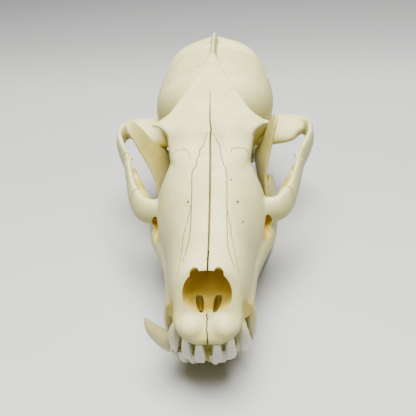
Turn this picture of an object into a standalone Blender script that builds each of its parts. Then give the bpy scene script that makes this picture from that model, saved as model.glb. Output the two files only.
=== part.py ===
"""A raccoon dog's skull at life size, with its lower jaw in place, resting on the jaw's lower borders.

Sizes are in millimetres in the skull's own frame until a mesh is made: x to the animal's left, y from
the front of the premaxilla to the rear, z up from the plane of the upper tooth sockets.
"""

import math

import bmesh
import bpy
from mathutils import Matrix, Vector

MM = 0.001

# Driving sizes of the skull
SKULL_LENGTH = 122.0
FLOOR_LEVEL = -20.5
NODE_GAP = 0.3
HINGE_GAP = 0.5

# How the loose lower jaw lies: slipped to the animal's right and rolled a little
JAW_ROLL = {"left": math.radians(10.5), "right": math.radians(8.5)}
JAW_FRONT = (0.0, 8.0, -10.0)
JAW_REAR = (19.2, 72.0, 1.0)
JAW_SLIP = {
    "left": {"front": (-2.2, 0.0, -1.0), "rear": (-0.9, 0.0, -0.2)},
    "right": {"front": (-2.3, 0.0, 0.3), "rear": (-1.0, 0.3, -0.9)},
}

# Dry bone: the jaw is the yellower
BONE_COLOUR = (0.80, 0.77, 0.66)
JAW_COLOUR = (0.76, 0.71, 0.55)
BONE_ROUGHNESS = 0.5

# Fineness of the solids
BONE_VOXEL = 0.55
EASE_ROUNDS = 6
CRANIUM_TRIANGLES = 7000
JUGAL_TRIANGLES = 420
MANDIBLE_TRIANGLES = 1250
COARSEN_TRIES = 12
COARSEN_STEP = 0.01
SLIVER = 0.015
SLIVER_STEPS = 4
LOFT_SIDES = 40
BLADE_SIDES = 24
STEP = 1.5

# Sections across the skull: y, half width low, midway and high, low level, high level, squareness
MUZZLE = [
    (-0.3, 3.8, 3.8, 3.4, 0.9, 2.6, 0.75),
    (1.2, 6.0, 6.2, 5.4, 0.9, 4.2, 0.68),
    (3.2, 8.0, 8.2, 6.9, 0.9, 5.4, 0.66),
    (5.0, 9.0, 9.1, 7.8, 0.8, 6.9, 0.66),
    (8.0, 9.9, 9.6, 7.6, 0.4, 11.5, 0.64),
    (11.4, 10.8, 9.9, 7.2, -0.6, 15.7, 0.60),
    (18.0, 11.9, 10.7, 7.1, -1.2, 17.1, 0.60),
    (25.0, 12.7, 11.4, 7.3, -1.2, 18.8, 0.60),
    (32.0, 14.8, 13.2, 8.1, -1.2, 20.6, 0.60),
    (38.0, 17.6, 15.4, 9.7, -1.0, 22.4, 0.62),
    (43.5, 18.4, 16.2, 11.4, -0.6, 24.8, 0.64),
    (48.0, 17.0, 14.2, 12.4, 0.4, 26.8, 0.62),
    (52.0, 13.5, 11.0, 12.8, 1.0, 28.2, 0.62),
    (56.0, 10.0, 9.0, 12.4, 1.6, 29.4, 0.66),
]

FOREHEAD = [
    (44.0, 11.0, 10.5, 11.0, 8.0, 24.8, 0.56),
    (50.0, 10.5, 11.0, 13.4, 8.0, 27.6, 0.48),
    (54.0, 10.6, 11.4, 14.2, 12.0, 29.2, 0.46),
    (57.4, 10.2, 11.6, 15.0, 13.4, 30.4, 0.46),
    (60.0, 9.6, 11.4, 15.4, 14.4, 31.4, 0.48),
    (62.5, 9.4, 11.0, 13.6, 15.0, 32.2, 0.50),
    (66.0, 9.4, 10.4, 11.4, 15.0, 33.2, 0.56),
    (71.0, 9.6, 9.8, 9.0, 15.0, 34.8, 0.65),
    (78.0, 9.0, 8.2, 5.4, 20.0, 36.8, 0.70),
    (86.0, 7.0, 5.0, 2.4, 28.0, 38.2, 0.80),
    (90.0, 5.0, 3.0, 1.5, 32.0, 37.8, 0.80),
]

ORBIT_WALL = [
    (42.0, 9.0, 9.0, 8.4, 0.5, 22.0, 0.80),
    (50.0, 9.0, 9.0, 8.8, 0.8, 25.0, 0.80),
    (58.0, 8.4, 8.6, 9.0, 2.0, 27.0, 0.80),
    (64.0, 8.2, 8.6, 9.0, 5.0, 29.0, 0.85),
    (72.0, 9.6, 9.6, 9.4, 7.0, 31.0, 0.90),
]

BRAINCASE = [
    (66.0, 8.6, 8.4, 8.0, 8.0, 30.5, 0.90),
    (71.0, 9.8, 9.8, 9.2, 7.0, 32.0, 0.90),
    (76.0, 12.8, 13.2, 11.8, 6.0, 33.4, 0.88),
    (82.0, 16.6, 17.6, 15.0, 5.0, 34.6, 0.87),
    (88.0, 18.8, 20.2, 17.2, 4.4, 35.4, 0.87),
    (94.0, 19.6, 21.0, 17.8, 4.0, 35.8, 0.87),
    (100.0, 19.8, 21.2, 17.6, 4.0, 35.8, 0.88),
    (106.0, 19.2, 20.6, 16.8, 4.2, 35.6, 0.90),
    (111.0, 18.2, 19.7, 15.6, 4.8, 35.2, 0.90),
    (115.0, 16.6, 18.2, 14.4, 5.6, 34.8, 0.88),
    (117.6, 14.4, 16.4, 13.0, 7.5, 34.4, 0.86),
    (119.6, 11.4, 13.4, 10.8, 10.0, 33.8, 0.86),
    (120.6, 7.0, 8.4, 7.0, 14.0, 33.0, 0.88),
]

# Floor of the braincase between the ear capsules
SKULL_BASE = [
    (60.0, 5.2, 5.2, 5.2, 4.5, 12.0, 0.80),
    (72.0, 5.6, 5.6, 5.6, 4.0, 12.0, 0.80),
    (84.0, 6.6, 6.6, 6.6, 3.2, 12.0, 0.75),
    (98.0, 7.4, 7.4, 7.4, 2.8, 12.0, 0.70),
    (110.0, 8.6, 8.6, 8.6, 3.4, 12.0, 0.75),
    (117.0, 6.4, 6.4, 6.4, 5.0, 10.0, 0.80),
]

PALATE = [
    (3.0, 5.0, 5.0, 5.0, -0.6, 3.0, 0.70),
    (12.0, 8.2, 8.2, 8.2, 0.2, 3.2, 0.70),
    (24.0, 8.8, 8.8, 8.8, 0.8, 3.6, 0.70),
    (38.0, 12.0, 12.0, 12.0, 1.0, 4.2, 0.70),
    (50.0, 14.0, 14.0, 14.0, 1.2, 4.6, 0.70),
    (59.0, 9.5, 9.5, 9.5, 1.2, 4.6, 0.75),
    (63.0, 6.4, 6.4, 6.4, 1.6, 4.4, 0.80),
]

# Swept pieces of one side: x, y, z, half thickness, half height, lean of the section in degrees
TOOTH_ROW_BONE = [
    (8.0, 6.6, 2.6, 1.4, 1.5, 0),
    (9.5, 11.4, 1.8, 1.7, 2.4, 0),
    (10.0, 18.0, 1.6, 2.1, 3.4, 8),
    (10.9, 26.0, 1.8, 2.3, 4.0, 12),
    (13.0, 33.0, 2.2, 2.5, 4.4, 14),
    (15.6, 40.0, 2.4, 2.8, 4.4, 14),
    (16.4, 46.0, 2.6, 3.2, 3.8, 8),
    (15.2, 52.0, 2.6, 3.2, 3.4, 0),
    (12.6, 58.0, 2.8, 2.6, 3.0, 0),
]

CANINE_ROOT = [
    (9.9, 13.0, 1.0, 1.7, 2.2, 0),
    (9.6, 16.5, 3.8, 1.7, 3.0, 20),
    (9.0, 21.0, 6.8, 1.5, 3.2, 26),
    (8.2, 27.0, 9.4, 1.1, 2.6, 30),
]

CHEEK_ARCH = [
    (14.0, 41.6, 9.8, 2.6, 4.2, 15),
    (19.6, 42.6, 10.4, 2.0, 3.8, 20),
    (22.8, 45.9, 11.2, 1.5, 3.9, 24),
    (25.1, 52.0, 11.6, 1.3, 3.9, 24),
    (27.0, 59.6, 11.9, 1.2, 4.0, 22),
    (28.7, 67.0, 12.4, 1.3, 4.1, 16),
    (31.4, 74.0, 13.2, 1.4, 4.0, 8),
    (33.2, 80.5, 13.6, 1.4, 3.9, 5),
    (33.3, 86.0, 13.4, 1.5, 3.7, 0),
    (31.5, 90.5, 12.8, 1.8, 3.2, 0),
    (28.0, 93.0, 12.4, 2.5, 3.0, 0),
]

CHEEK_SHELF = [
    (13.0, 43.0, 6.2, 2.6, 2.6, 0),
    (18.0, 46.8, 6.2, 2.4, 2.2, 0),
    (21.6, 51.4, 6.8, 2.2, 1.9, 10),
    (24.6, 57.6, 8.0, 1.7, 1.9, 20),
    (28.0, 66.0, 10.0, 1.2, 2.0, 16),
]

CHEEK_POINT = [
    (27.7, 64.4, 13.4, 1.5, 1.6, 0),
    (26.7, 65.4, 15.2, 1.2, 1.2, 0),
    (25.5, 65.9, 16.9, 0.7, 0.7, 0),
]

ARCH_ROOT = [
    (13.0, 93.0, 10.0, 6.6, 3.6, -18),
    (20.0, 92.2, 10.8, 6.4, 2.8, -18),
    (26.0, 91.4, 11.8, 6.0, 2.4, -18),
    (30.2, 90.2, 12.8, 5.0, 2.2, -16),
    (32.8, 88.0, 13.4, 3.0, 2.0, -10),
]

BROW_POINT = [
    (11.0, 59.4, 29.9, 3.4, 1.3, 0),
    (13.6, 59.7, 29.8, 2.5, 1.2, 0),
    (15.6, 60.0, 29.6, 1.5, 0.9, 0),
    (17.0, 60.2, 29.4, 0.8, 0.6, 0),
    (17.9, 60.3, 29.2, 0.45, 0.45, 0),
]

TEMPLE_LINE = [
    (15.4, 60.6, 29.6, 0.9, 0.9, 0),
    (11.8, 63.6, 31.0, 1.1, 1.1, 0),
    (8.2, 71.0, 33.4, 1.1, 1.2, 0),
    (4.2, 79.5, 36.4, 1.1, 1.3, 0),
    (1.4, 87.0, 37.8, 1.0, 1.4, 0),
]

NECK_RIDGE = [
    (0.0, 120.6, 34.6, 1.6, 1.4, 0),
    (0.0, 120.4, 28.0, 1.6, 1.4, 0),
    (0.0, 119.2, 20.0, 1.4, 1.2, 0),
]

MID_CREST = [
    (0.0, 82.0, 36.0, 1.0, 1.4, 0),
    (0.0, 88.5, 36.8, 1.0, 2.4, 0),
    (0.0, 98.0, 36.6, 1.0, 3.0, 0),
    (0.0, 110.0, 36.0, 1.0, 3.3, 0),
    (0.0, 118.0, 35.6, 1.0, 3.2, 0),
    (0.0, 121.6, 36.2, 0.9, 2.1, 0),
]

NECK_CREST = [
    (0.0, 120.4, 35.6, 2.6, 1.2, 0),
    (5.0, 119.6, 34.4, 2.6, 1.1, 0),
    (9.5, 118.2, 33.0, 2.8, 1.2, 0),
    (13.5, 116.0, 30.8, 3.0, 1.3, 0),
    (16.8, 113.1, 27.2, 3.0, 1.3, 0),
    (18.9, 110.2, 22.0, 2.8, 1.4, 0),
    (19.6, 107.6, 15.0, 2.6, 1.8, 0),
    (19.0, 105.2, 9.0, 2.4, 2.2, 0),
]

PTERYGOID = [
    (7.4, 55.0, 4.0, 1.0, 3.4, 0),
    (6.4, 63.0, 3.2, 0.8, 4.4, 0),
    (5.8, 70.0, 2.4, 0.7, 4.8, 0),
    (5.6, 76.0, 1.0, 0.7, 4.0, 0),
    (5.4, 80.0, -2.0, 0.6, 1.4, 0),
]

NECK_PROCESS = [
    (13.2, 107.0, 8.0, 3.0, 3.6, 0),
    (13.6, 108.2, 3.0, 2.0, 2.8, 0),
    (13.8, 108.6, -1.4, 1.3, 1.9, 0),
    (13.8, 108.2, -4.4, 0.6, 0.8, 0),
]

LIP_CENTRE = (3.6, 3.8, 2.9)
LIP_RADII = (3.7, 3.8, 3.4)
BULLA_CENTRE = (11.4, 98.6, 1.2)
BULLA_RADII = (6.3, 9.4, 7.0)
CONDYLE_CENTRE = (7.4, 117.4, 8.2)
CONDYLE_RADII = (4.4, 3.6, 5.2)

# Hollows
NASAL_HOLLOW = [
    (-3.0, 3.2, 3.2, 3.2, 12.4, 14.4, 0.90),
    (1.0, 3.4, 3.6, 3.6, 10.4, 14.4, 0.90),
    (3.0, 3.6, 4.2, 4.4, 8.4, 14.4, 0.85),
    (5.0, 4.0, 5.0, 5.0, 6.4, 14.4, 0.78),
    (7.0, 4.4, 5.5, 5.3, 4.8, 14.8, 0.68),
    (11.0, 5.0, 5.9, 5.4, 3.6, 15.0, 0.60),
    (14.0, 5.2, 6.2, 5.3, 3.4, 15.3, 0.62),
    (18.0, 5.2, 6.4, 5.2, 3.4, 15.6, 0.70),
    (28.0, 5.0, 6.6, 5.4, 4.0, 17.4, 0.80),
    (38.0, 4.0, 5.4, 4.4, 6.0, 17.8, 0.90),
]
ORBIT_CENTRE = (16.0, 60.0, 17.0)
ORBIT_RADII = (7.0, 12.0, 11.6)
CANINE_NOTCH_CENTRE = (11.5, 8.2, 1.5)
CANINE_NOTCH_RADII = (3.5, 2.7, 7.0)
CHOANA = [
    (60.0, 3.6, 3.6, 3.6, 4.0, 9.0, 0.80),
    (66.0, 4.4, 4.4, 4.4, -4.0, 9.0, 0.80),
    (74.0, 4.6, 4.6, 4.6, -6.0, 6.0, 0.80),
    (84.0, 4.4, 4.4, 4.4, -8.0, 3.0, 0.80),
]
EAR_HOLE_CENTRE = (18.6, 97.0, 4.6)
EAR_HOLE_RADII = (3.2, 1.9, 1.7)
SPINAL_HOLE = [
    (104.0, 4.2, 4.2, 4.2, 8.0, 14.0, 0.95),
    (110.0, 5.8, 5.8, 5.8, 6.6, 16.0, 0.90),
    (126.0, 7.0, 7.0, 7.0, 6.0, 17.4, 0.90),
]
PALATE_SLIT = [
    (2.0, 6.7, 3.0, 0.3, 4.0, 0),
    (2.1, 8.0, 3.0, 0.75, 4.6, 0),
    (2.5, 10.6, 3.0, 1.0, 4.6, 0),
    (2.9, 13.2, 3.0, 0.75, 4.0, 0),
]
CHEEK_CANAL = [
    (21.2, 28.6, 4.6, 2.5, 3.2, 0),
    (17.6, 35.6, 7.0, 2.4, 3.0, 0),
    (15.4, 44.0, 9.0, 1.6, 2.3, 0),
    (14.8, 54.0, 9.6, 1.4, 2.1, 0),
]

# Where the cheek bone parts from the skull, seen from the side: y, z
JUGAL_OUTLINE = [
    (45.4, -6.0), (44.6, 6.0), (46.4, 22.0), (66.6, 24.0), (67.6, 14.6), (87.0, 11.2), (87.0, -6.0),
]
JUGAL_INNER_X = 19.2
JUGAL_OUTER_X = 42.0
JUGAL_FRONT_SLANT = 5.0

# Lower jaw, one side, before it slips and rolls
JAW_BODY = [
    (3.0, 6.0, -10.0, 3.3, 1.8, 0),
    (3.5, 9.5, -11.6, 3.8, 3.6, 0),
    (3.9, 14.0, -13.2, 4.2, 4.8, 0),
    (4.4, 20.0, -14.4, 4.0, 5.3, 0),
    (6.2, 28.0, -15.2, 2.8, 5.5, 0),
    (8.6, 38.0, -15.6, 2.6, 5.6, 0),
    (11.4, 48.0, -15.3, 2.7, 5.5, 0),
    (14.0, 56.0, -14.8, 2.7, 5.5, 0),
    (16.0, 63.0, -14.2, 2.4, 6.4, 0),
    (17.6, 70.0, -13.5, 2.0, 7.7, 0),
    (18.5, 76.0, -13.0, 1.8, 8.5, 0),
    (19.0, 81.5, -12.4, 1.6, 8.7, 0),
    (19.2, 86.0, -9.4, 1.5, 7.2, 0),
    (19.0, 89.0, -6.0, 1.4, 5.0, 0),
]

# z, front y, rear y, front x, rear x, half thickness
JAW_BLADE = [
    (-15.0, 64.5, 82.0, 18.4, 18.6, 1.5),
    (-9.0, 64.4, 87.5, 18.6, 18.6, 1.6),
    (-3.0, 66.6, 90.2, 18.6, 18.2, 1.5),
    (2.0, 68.8, 90.6, 18.8, 18.0, 1.4),
    (6.0, 70.6, 88.6, 19.6, 18.6, 1.3),
    (9.0, 71.8, 85.6, 20.6, 19.8, 1.2),
    (13.0, 73.4, 84.4, 21.8, 21.1, 1.1),
    (18.0, 75.2, 84.2, 23.1, 22.6, 1.0),
    (20.6, 76.4, 84.0, 23.8, 23.5, 0.8),
    (22.0, 78.2, 82.2, 24.2, 24.1, 0.5),
]
JAW_HINGE_CENTRE = (22.6, 90.8, 5.6)
JAW_HINGE_RADII = (5.6, 2.4, 2.5)
JAW_ANGLE = [
    (19.0, 84.0, -12.0, 1.3, 3.4, 0),
    (19.2, 89.0, -10.6, 1.2, 2.2, 0),
    (19.2, 93.6, -8.8, 0.9, 1.0, 0),
]

# Blocks that part the jaw halves and level what they stand on: y, z of one and x, y of the other
CHIN_WINDOW = [(-20.0, -60.0), (60.0, -60.0), (60.0, 30.0), (-20.0, 30.0)]
FLOOR_WINDOW = [(-60.0, -20.0), (60.0, -20.0), (60.0, 140.0), (-60.0, 140.0)]
CUT_REACH = 60.0

# Teeth of one side: x, y, socket level, turn of the row in degrees, length, width, height
UPPER_INCISORS = [
    (2.1, 0.9, 0.8, 84.0, 2.6, 2.7, 6.3),
    (5.1, 1.9, 1.8, 66.0, 2.6, 3.0, 7.1),
    (8.4, 4.8, 1.6, 42.0, 2.7, 3.1, 7.2),
]
UPPER_CHEEK = [
    (10.2, 17.8, -0.6, 2.0, 3.2, 2.4, 2.8),
    (10.7, 23.4, -0.6, 8.0, 6.4, 2.8, 4.2),
    (12.7, 31.4, -0.6, 18.0, 7.4, 3.2, 4.8),
    (15.6, 40.6, -0.4, 14.0, 11.4, 4.6, 6.2),
]
UPPER_MOLARS = [
    (14.8, 49.2, 0.0, -12.0, 8.0, 9.8, 4.2),
    (12.4, 56.0, 0.6, -24.0, 5.8, 7.8, 3.4),
]
UPPER_CANINE = [
    (8.8, 14.8, 4.0, 1.2, 1.8, 0),
    (9.6, 13.8, 1.2, 1.7, 2.4, 0),
    (10.4, 13.0, -1.4, 1.8, 2.4, 0),
    (10.8, 12.5, -4.8, 1.5, 2.0, 0),
    (11.1, 12.6, -8.6, 1.0, 1.4, 0),
    (11.2, 13.1, -12.0, 0.35, 0.4, 0),
]
LOWER_CANINE = {
    "left": [
        (6.2, 11.4, -12.0, 1.9, 2.5, 0),
        (8.7, 9.1, -8.9, 1.9, 2.3, 0),
        (10.5, 8.5, -5.7, 1.7, 2.0, 0),
        (12.0, 8.4, -2.9, 1.2, 1.5, 0),
        (12.8, 8.5, -0.9, 0.35, 0.4, 0),
    ],
    "right": [
        (5.6, 11.4, -11.6, 1.9, 2.6, 0),
        (7.0, 8.5, -7.8, 2.1, 2.7, 0),
        (9.3, 7.2, -3.8, 2.0, 2.35, 0),
        (11.2, 7.3, -0.3, 1.4, 1.8, 0),
        (12.3, 8.2, 2.6, 0.4, 0.5, 0),
    ],
}
LOWER_INCISORS = [
    (1.4, 3.6, -9.2, 82.0, 1.9, 2.2, 3.4),
    (3.6, 4.2, -9.2, 72.0, 2.3, 2.4, 3.8),
    (5.8, 5.6, -9.2, 54.0, 2.6, 2.8, 3.2),
]
LOWER_CHEEK = [
    (6.6, 16.6, -9.4, 8.0, 2.8, 2.2, 2.4),
    (6.7, 22.2, -9.9, 12.0, 6.0, 2.6, 3.4),
    (7.6, 29.6, -10.2, 14.0, 6.8, 2.8, 3.8),
    (9.2, 37.6, -10.2, 14.0, 7.6, 3.2, 4.4),
    (11.9, 48.2, -10.0, 14.0, 12.6, 4.6, 5.2),
    (14.8, 58.4, -9.6, 14.0, 7.0, 4.6, 3.0),
    (16.2, 63.8, -9.2, 14.0, 3.2, 3.0, 1.8),
]
LOWER_INCISOR_SHIFT = {"left": 2.4, "right": 0.2}
SOCKET_DEPTH = 2.4
INCISOR_ROOT_LEAN = 0.7
INCISOR_PROFILE = [(0.0, 0.70, 0.95), (0.3, 0.86, 1.0), (0.7, 1.0, 0.62), (1.0, 0.84, 0.22)]
CUSP_PROFILE = [(0.0, 0.94, 0.9), (0.25, 1.0, 1.0), (0.6, 0.66, 0.62), (0.9, 0.28, 0.3), (1.0, 0.1, 0.1)]
MOLAR_PROFILE = [(0.0, 0.92, 0.92), (0.35, 1.0, 1.0), (0.75, 0.9, 0.84), (1.0, 0.55, 0.5)]
TOOTH_SIDES = 8
CANINE_STEP = 4.0


def smoothly(table, at):
    """The columns of a table of stations, read between its rows without overshooting."""
    keys = [row[0] for row in table]
    at = min(max(at, keys[0]), keys[-1])
    right = next(i for i in range(1, len(keys)) if at <= keys[i])
    left = right - 1
    span = keys[right] - keys[left]
    part = (at - keys[left]) / span
    values = []
    for column in range(1, len(table[0])):
        start, end = table[left][column], table[right][column]
        slope = (end - start) / span
        slopes = []
        for i in (left, right):
            if i in (0, len(keys) - 1):
                slopes.append(slope)
                continue
            before = (table[i][column] - table[i - 1][column]) / (keys[i] - keys[i - 1])
            after = (table[i + 1][column] - table[i][column]) / (keys[i + 1] - keys[i])
            slopes.append(2 * before * after / (before + after) if before * after > 0 else 0.0)
        bend = part * part * (3 - 2 * part)
        values.append(
            start + (end - start) * bend
            + span * part * (1 - part) * (slopes[0] * (1 - part) - slopes[1] * part)
        )
    return values


def stations(first, last, step):
    """Even places from first to last, no further apart than step."""
    count = max(2, math.ceil(abs(last - first) / step))
    return [first + (last - first) * i / count for i in range(count + 1)]


def rounded(value, squareness):
    return math.copysign(abs(value) ** squareness, value)


def mesh_from_rings(name, rings):
    """A closed mesh through rings of equal count, each end shut by a flat face."""
    mesh = bpy.data.meshes.new(name)
    shape = bmesh.new()
    layers = [[shape.verts.new(Vector(point) * MM) for point in ring] for ring in rings]
    sides = len(layers[0])
    for lower, upper in zip(layers, layers[1:]):
        for i in range(sides):
            j = (i + 1) % sides
            shape.faces.new((lower[i], lower[j], upper[j], upper[i]))
    shape.faces.new(list(reversed(layers[0])))
    shape.faces.new(layers[-1])
    bmesh.ops.recalc_face_normals(shape, faces=shape.faces)
    if shape.calc_volume(signed=True) < 0:
        bmesh.ops.reverse_faces(shape, faces=shape.faces)
    shape.to_mesh(mesh)
    shape.free()
    return bpy.data.objects.new(name, mesh)


def cross_loft(name, table):
    """A body of upright sections across the skull, each a rounded box that may narrow upwards."""
    rings = []
    for y in stations(table[0][0], table[-1][0], STEP):
        wide_low, wide_mid, wide_high, low, high, squareness = smoothly(table, y)
        ring = []
        for i in range(LOFT_SIDES):
            turn = 2 * math.pi * i / LOFT_SIDES
            up = rounded(math.sin(turn), squareness)
            spread = (wide_high + wide_low) / 2 - wide_mid
            width = wide_mid + (wide_high - wide_low) / 2 * up + spread * up * up
            x = width * rounded(math.cos(turn), squareness)
            ring.append((x, y, (low + high) / 2 + (high - low) / 2 * up))
        rings.append(ring)
    return mesh_from_rings(name, rings)


def path_table(rows, side):
    """The rows of a swept piece on one side, each led by its distance along the path."""
    table = []
    travelled = 0.0
    before = None
    for x, y, z, thick, tall, lean in rows:
        place = Vector((side * x, y, z))
        travelled += (place - before).length if before else 0.0
        table.append((travelled, place.x, y, z, thick, tall, lean))
        before = place
    return table


def sweep(name, rows, side=1, sides=16, step=STEP):
    """A bar along a path, its oval section square to the path and leaning inwards at its top."""
    table = path_table(rows, side)
    samples = [smoothly(table, at) for at in stations(0.0, table[-1][0], step)]
    rings = []
    for i, (x, y, z, thick, tall, lean) in enumerate(samples):
        ahead = Vector(samples[min(i + 1, len(samples) - 1)][:3])
        behind = Vector(samples[max(i - 1, 0)][:3])
        along = (ahead - behind).normalized()
        guide = Vector((0, 0, 1)) if abs(along.z) < 0.85 else Vector((0, 1, 0))
        across = along.cross(guide).normalized()
        turn_in = Matrix.Rotation(math.radians(lean) * -side, 3, along)
        across = turn_in @ across
        up = across.cross(along)
        centre = Vector((x, y, z))
        ring = []
        for j in range(sides):
            turn = 2 * math.pi * j / sides
            ring.append(centre + across * (thick * math.cos(turn)) + up * (tall * math.sin(turn)))
        rings.append(ring)
    return mesh_from_rings(name, rings)


def blade(name, rows, side):
    """A thin upright plate, stacked from rows of height, front and rear edge, and half thickness."""
    rings = []
    for z in stations(rows[0][0], rows[-1][0], STEP):
        front, rear, front_x, rear_x, thick = smoothly(rows, z)
        ring = []
        for i in range(BLADE_SIDES):
            turn = 2 * math.pi * i / BLADE_SIDES
            back = rounded(math.cos(turn), 0.8)
            x = (front_x + rear_x) / 2 + (rear_x - front_x) / 2 * back
            y = (front + rear) / 2 + (rear - front) / 2 * back
            ring.append((side * x + thick * math.sin(turn), y, z))
        rings.append(ring)
    return mesh_from_rings(name, rings)


def ball(name, centre, radii, side=1, grow=0.0):
    """An ellipsoid, on one side of the skull."""
    mesh = bpy.data.meshes.new(name)
    shape = bmesh.new()
    bmesh.ops.create_uvsphere(shape, u_segments=24, v_segments=16, radius=1.0)
    size = Matrix.Diagonal([(radius + grow) * MM for radius in radii] + [1.0])
    place = Matrix.Translation(Vector((side * centre[0], centre[1], centre[2])) * MM)
    bmesh.ops.transform(shape, matrix=place @ size, verts=shape.verts)
    shape.to_mesh(mesh)
    shape.free()
    return bpy.data.objects.new(name, mesh)


def tooth(name, row, side, upward, profile, root_lean=0.0):
    """A crown on a sunk root, through a profile of shares of its height, length and width."""
    x, y, socket, turn, length, width, height = row
    along = Vector((side * math.sin(math.radians(turn)), math.cos(math.radians(turn)), 0))
    outward = Vector((along.y, -along.x, 0))
    rise = 1 if upward else -1
    root = (-SOCKET_DEPTH / height, 0.8 * profile[0][1], 0.8 * profile[0][2])
    rings = []
    for share, long, wide in [root] + profile:
        centre = Vector((side * x, y, socket + rise * share * height))
        if share < 0:
            centre += outward * (side * root_lean * share * height)
        ring = []
        for i in range(TOOTH_SIDES):
            angle = 2 * math.pi * i / TOOTH_SIDES
            ring.append(
                centre + along * (length / 2 * long * math.cos(angle))
                + outward * (width / 2 * wide * math.sin(angle))
            )
        rings.append(ring)
    return mesh_from_rings(name, rings)


def collection_named(name):
    found = bpy.data.collections.new(name)
    bpy.context.scene.collection.children.link(found)
    return found


def bake(thing):
    """Make an object's evaluated mesh its own, and clear its modifiers."""
    bpy.context.view_layer.update()
    baked = bpy.data.meshes.new_from_object(thing.evaluated_get(bpy.context.evaluated_depsgraph_get()))
    thing.modifiers.clear()
    thing.data = baked


def combine(thing, others, operation, solver="MANIFOLD"):
    """Join closed objects to a thing, cut them from it, or keep what they share, in one Boolean."""
    group = collection_named("operands")
    for other in others:
        group.objects.link(other)
    boolean = thing.modifiers.new("combine", "BOOLEAN")
    boolean.operation = operation
    boolean.operand_type = "COLLECTION"
    boolean.collection = group
    boolean.solver = solver
    bake(thing)
    for other in others:
        bpy.data.objects.remove(other)
    bpy.data.collections.remove(group)


def soften(thing):
    """Melt the joined pieces into one skin and ease the creases where they met."""
    remesh = thing.modifiers.new("melt", "REMESH")
    remesh.mode = "VOXEL"
    remesh.voxel_size = BONE_VOXEL * MM
    smooth = thing.modifiers.new("ease", "SMOOTH")
    smooth.factor = 0.5
    smooth.iterations = EASE_ROUNDS
    bake(thing)


def is_closed(mesh):
    shape = bmesh.new()
    shape.from_mesh(mesh)
    closed = all(edge.is_manifold for edge in shape.edges) and all(vert.is_manifold for vert in shape.verts)
    shape.free()
    return closed


def coarsen(thing, triangles):
    """Close up slivers and collapse edges to about that many triangles, again and finer where that pinches."""
    fine = thing.data
    count = sum(len(face.vertices) - 2 for face in fine.polygons)
    for extra in range(COARSEN_TRIES):
        thing.data = fine
        weld = thing.modifiers.new("weld", "WELD")
        weld.merge_threshold = SLIVER * (1 + extra % SLIVER_STEPS) * MM
        decimate = thing.modifiers.new("coarsen", "DECIMATE")
        decimate.ratio = min(1.0, triangles * (1 + COARSEN_STEP * extra) / count)
        bake(thing)
        if is_closed(thing.data):
            break


def keep_largest(thing):
    """Keep the largest closed surface."""
    shape = bmesh.new()
    shape.from_mesh(thing.data)
    left = set(shape.verts)
    islands = []
    while left:
        found = {left.pop()}
        edge_of = list(found)
        while edge_of:
            for edge in edge_of.pop().link_edges:
                for vert in edge.verts:
                    if vert in left:
                        left.remove(vert)
                        found.add(vert)
                        edge_of.append(vert)
        islands.append(found)
    islands.sort(key=len)
    loose = [vert for island in islands[:-1] for vert in island]
    bmesh.ops.delete(shape, geom=loose, context="VERTS")
    shape.to_mesh(thing.data)
    shape.free()


def settle(thing, colour):
    """Give a finished part its own bone look and smooth shading."""
    look = bpy.data.materials.new(thing.name + " bone")
    look.use_nodes = True
    surface = look.node_tree.nodes["Principled BSDF"]
    surface.inputs["Base Color"].default_value = (*colour, 1.0)
    surface.inputs["Roughness"].default_value = BONE_ROUGHNESS
    thing.data.materials.clear()
    thing.data.materials.append(look)
    thing.data.shade_smooth()


def cranium_bone():
    """The whole upper skull without its hollows and teeth, with both cheek arches."""
    bone = cross_loft("cranium", MUZZLE)
    bpy.context.scene.collection.objects.link(bone)
    pieces = [cross_loft("piece", table) for table in (FOREHEAD, ORBIT_WALL, BRAINCASE, SKULL_BASE, PALATE)]
    pieces += [sweep("piece", MID_CREST), sweep("piece", NECK_RIDGE)]
    for side in (-1, 1):
        for rows in (
            TOOTH_ROW_BONE, CANINE_ROOT, CHEEK_ARCH, CHEEK_SHELF, CHEEK_POINT, ARCH_ROOT,
            BROW_POINT, TEMPLE_LINE, NECK_CREST, PTERYGOID, NECK_PROCESS,
        ):
            pieces.append(sweep("piece", rows, side))
        pieces.append(ball("piece", LIP_CENTRE, LIP_RADII, side))
        pieces.append(ball("piece", BULLA_CENTRE, BULLA_RADII, side))
        pieces.append(ball("piece", CONDYLE_CENTRE, CONDYLE_RADII, side))
    combine(bone, pieces, "UNION")
    return bone


def cranium_hollows():
    cutters = [cross_loft("cutter", table) for table in (NASAL_HOLLOW, CHOANA, SPINAL_HOLE)]
    for side in (-1, 1):
        cutters.append(ball("cutter", ORBIT_CENTRE, ORBIT_RADII, side))
        cutters.append(ball("cutter", EAR_HOLE_CENTRE, EAR_HOLE_RADII, side))
        cutters.append(sweep("cutter", PALATE_SLIT, side))
        cutters.append(ball("cutter", CANINE_NOTCH_CENTRE, CANINE_NOTCH_RADII, side))
        cutters.append(sweep("cutter", CHEEK_CANAL, side))
    return cutters


def jaw_pose(side):
    """How one half of the lower jaw has slipped at its two ends and rolled about the line between them."""
    half = "left" if side > 0 else "right"
    slip = JAW_SLIP[half]
    front = Vector(JAW_FRONT)
    rear = Vector((side * JAW_REAR[0], JAW_REAR[1], JAW_REAR[2]))
    new_front = front + Vector(slip["front"])
    new_rear = rear + Vector(slip["rear"])
    swing = (rear - front).rotation_difference(new_rear - new_front).to_matrix().to_4x4()
    roll = Matrix.Rotation(-JAW_ROLL[half], 4, new_rear - new_front)
    return Matrix.Translation(new_front * MM) @ roll @ swing @ Matrix.Translation(-front * MM)


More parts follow.
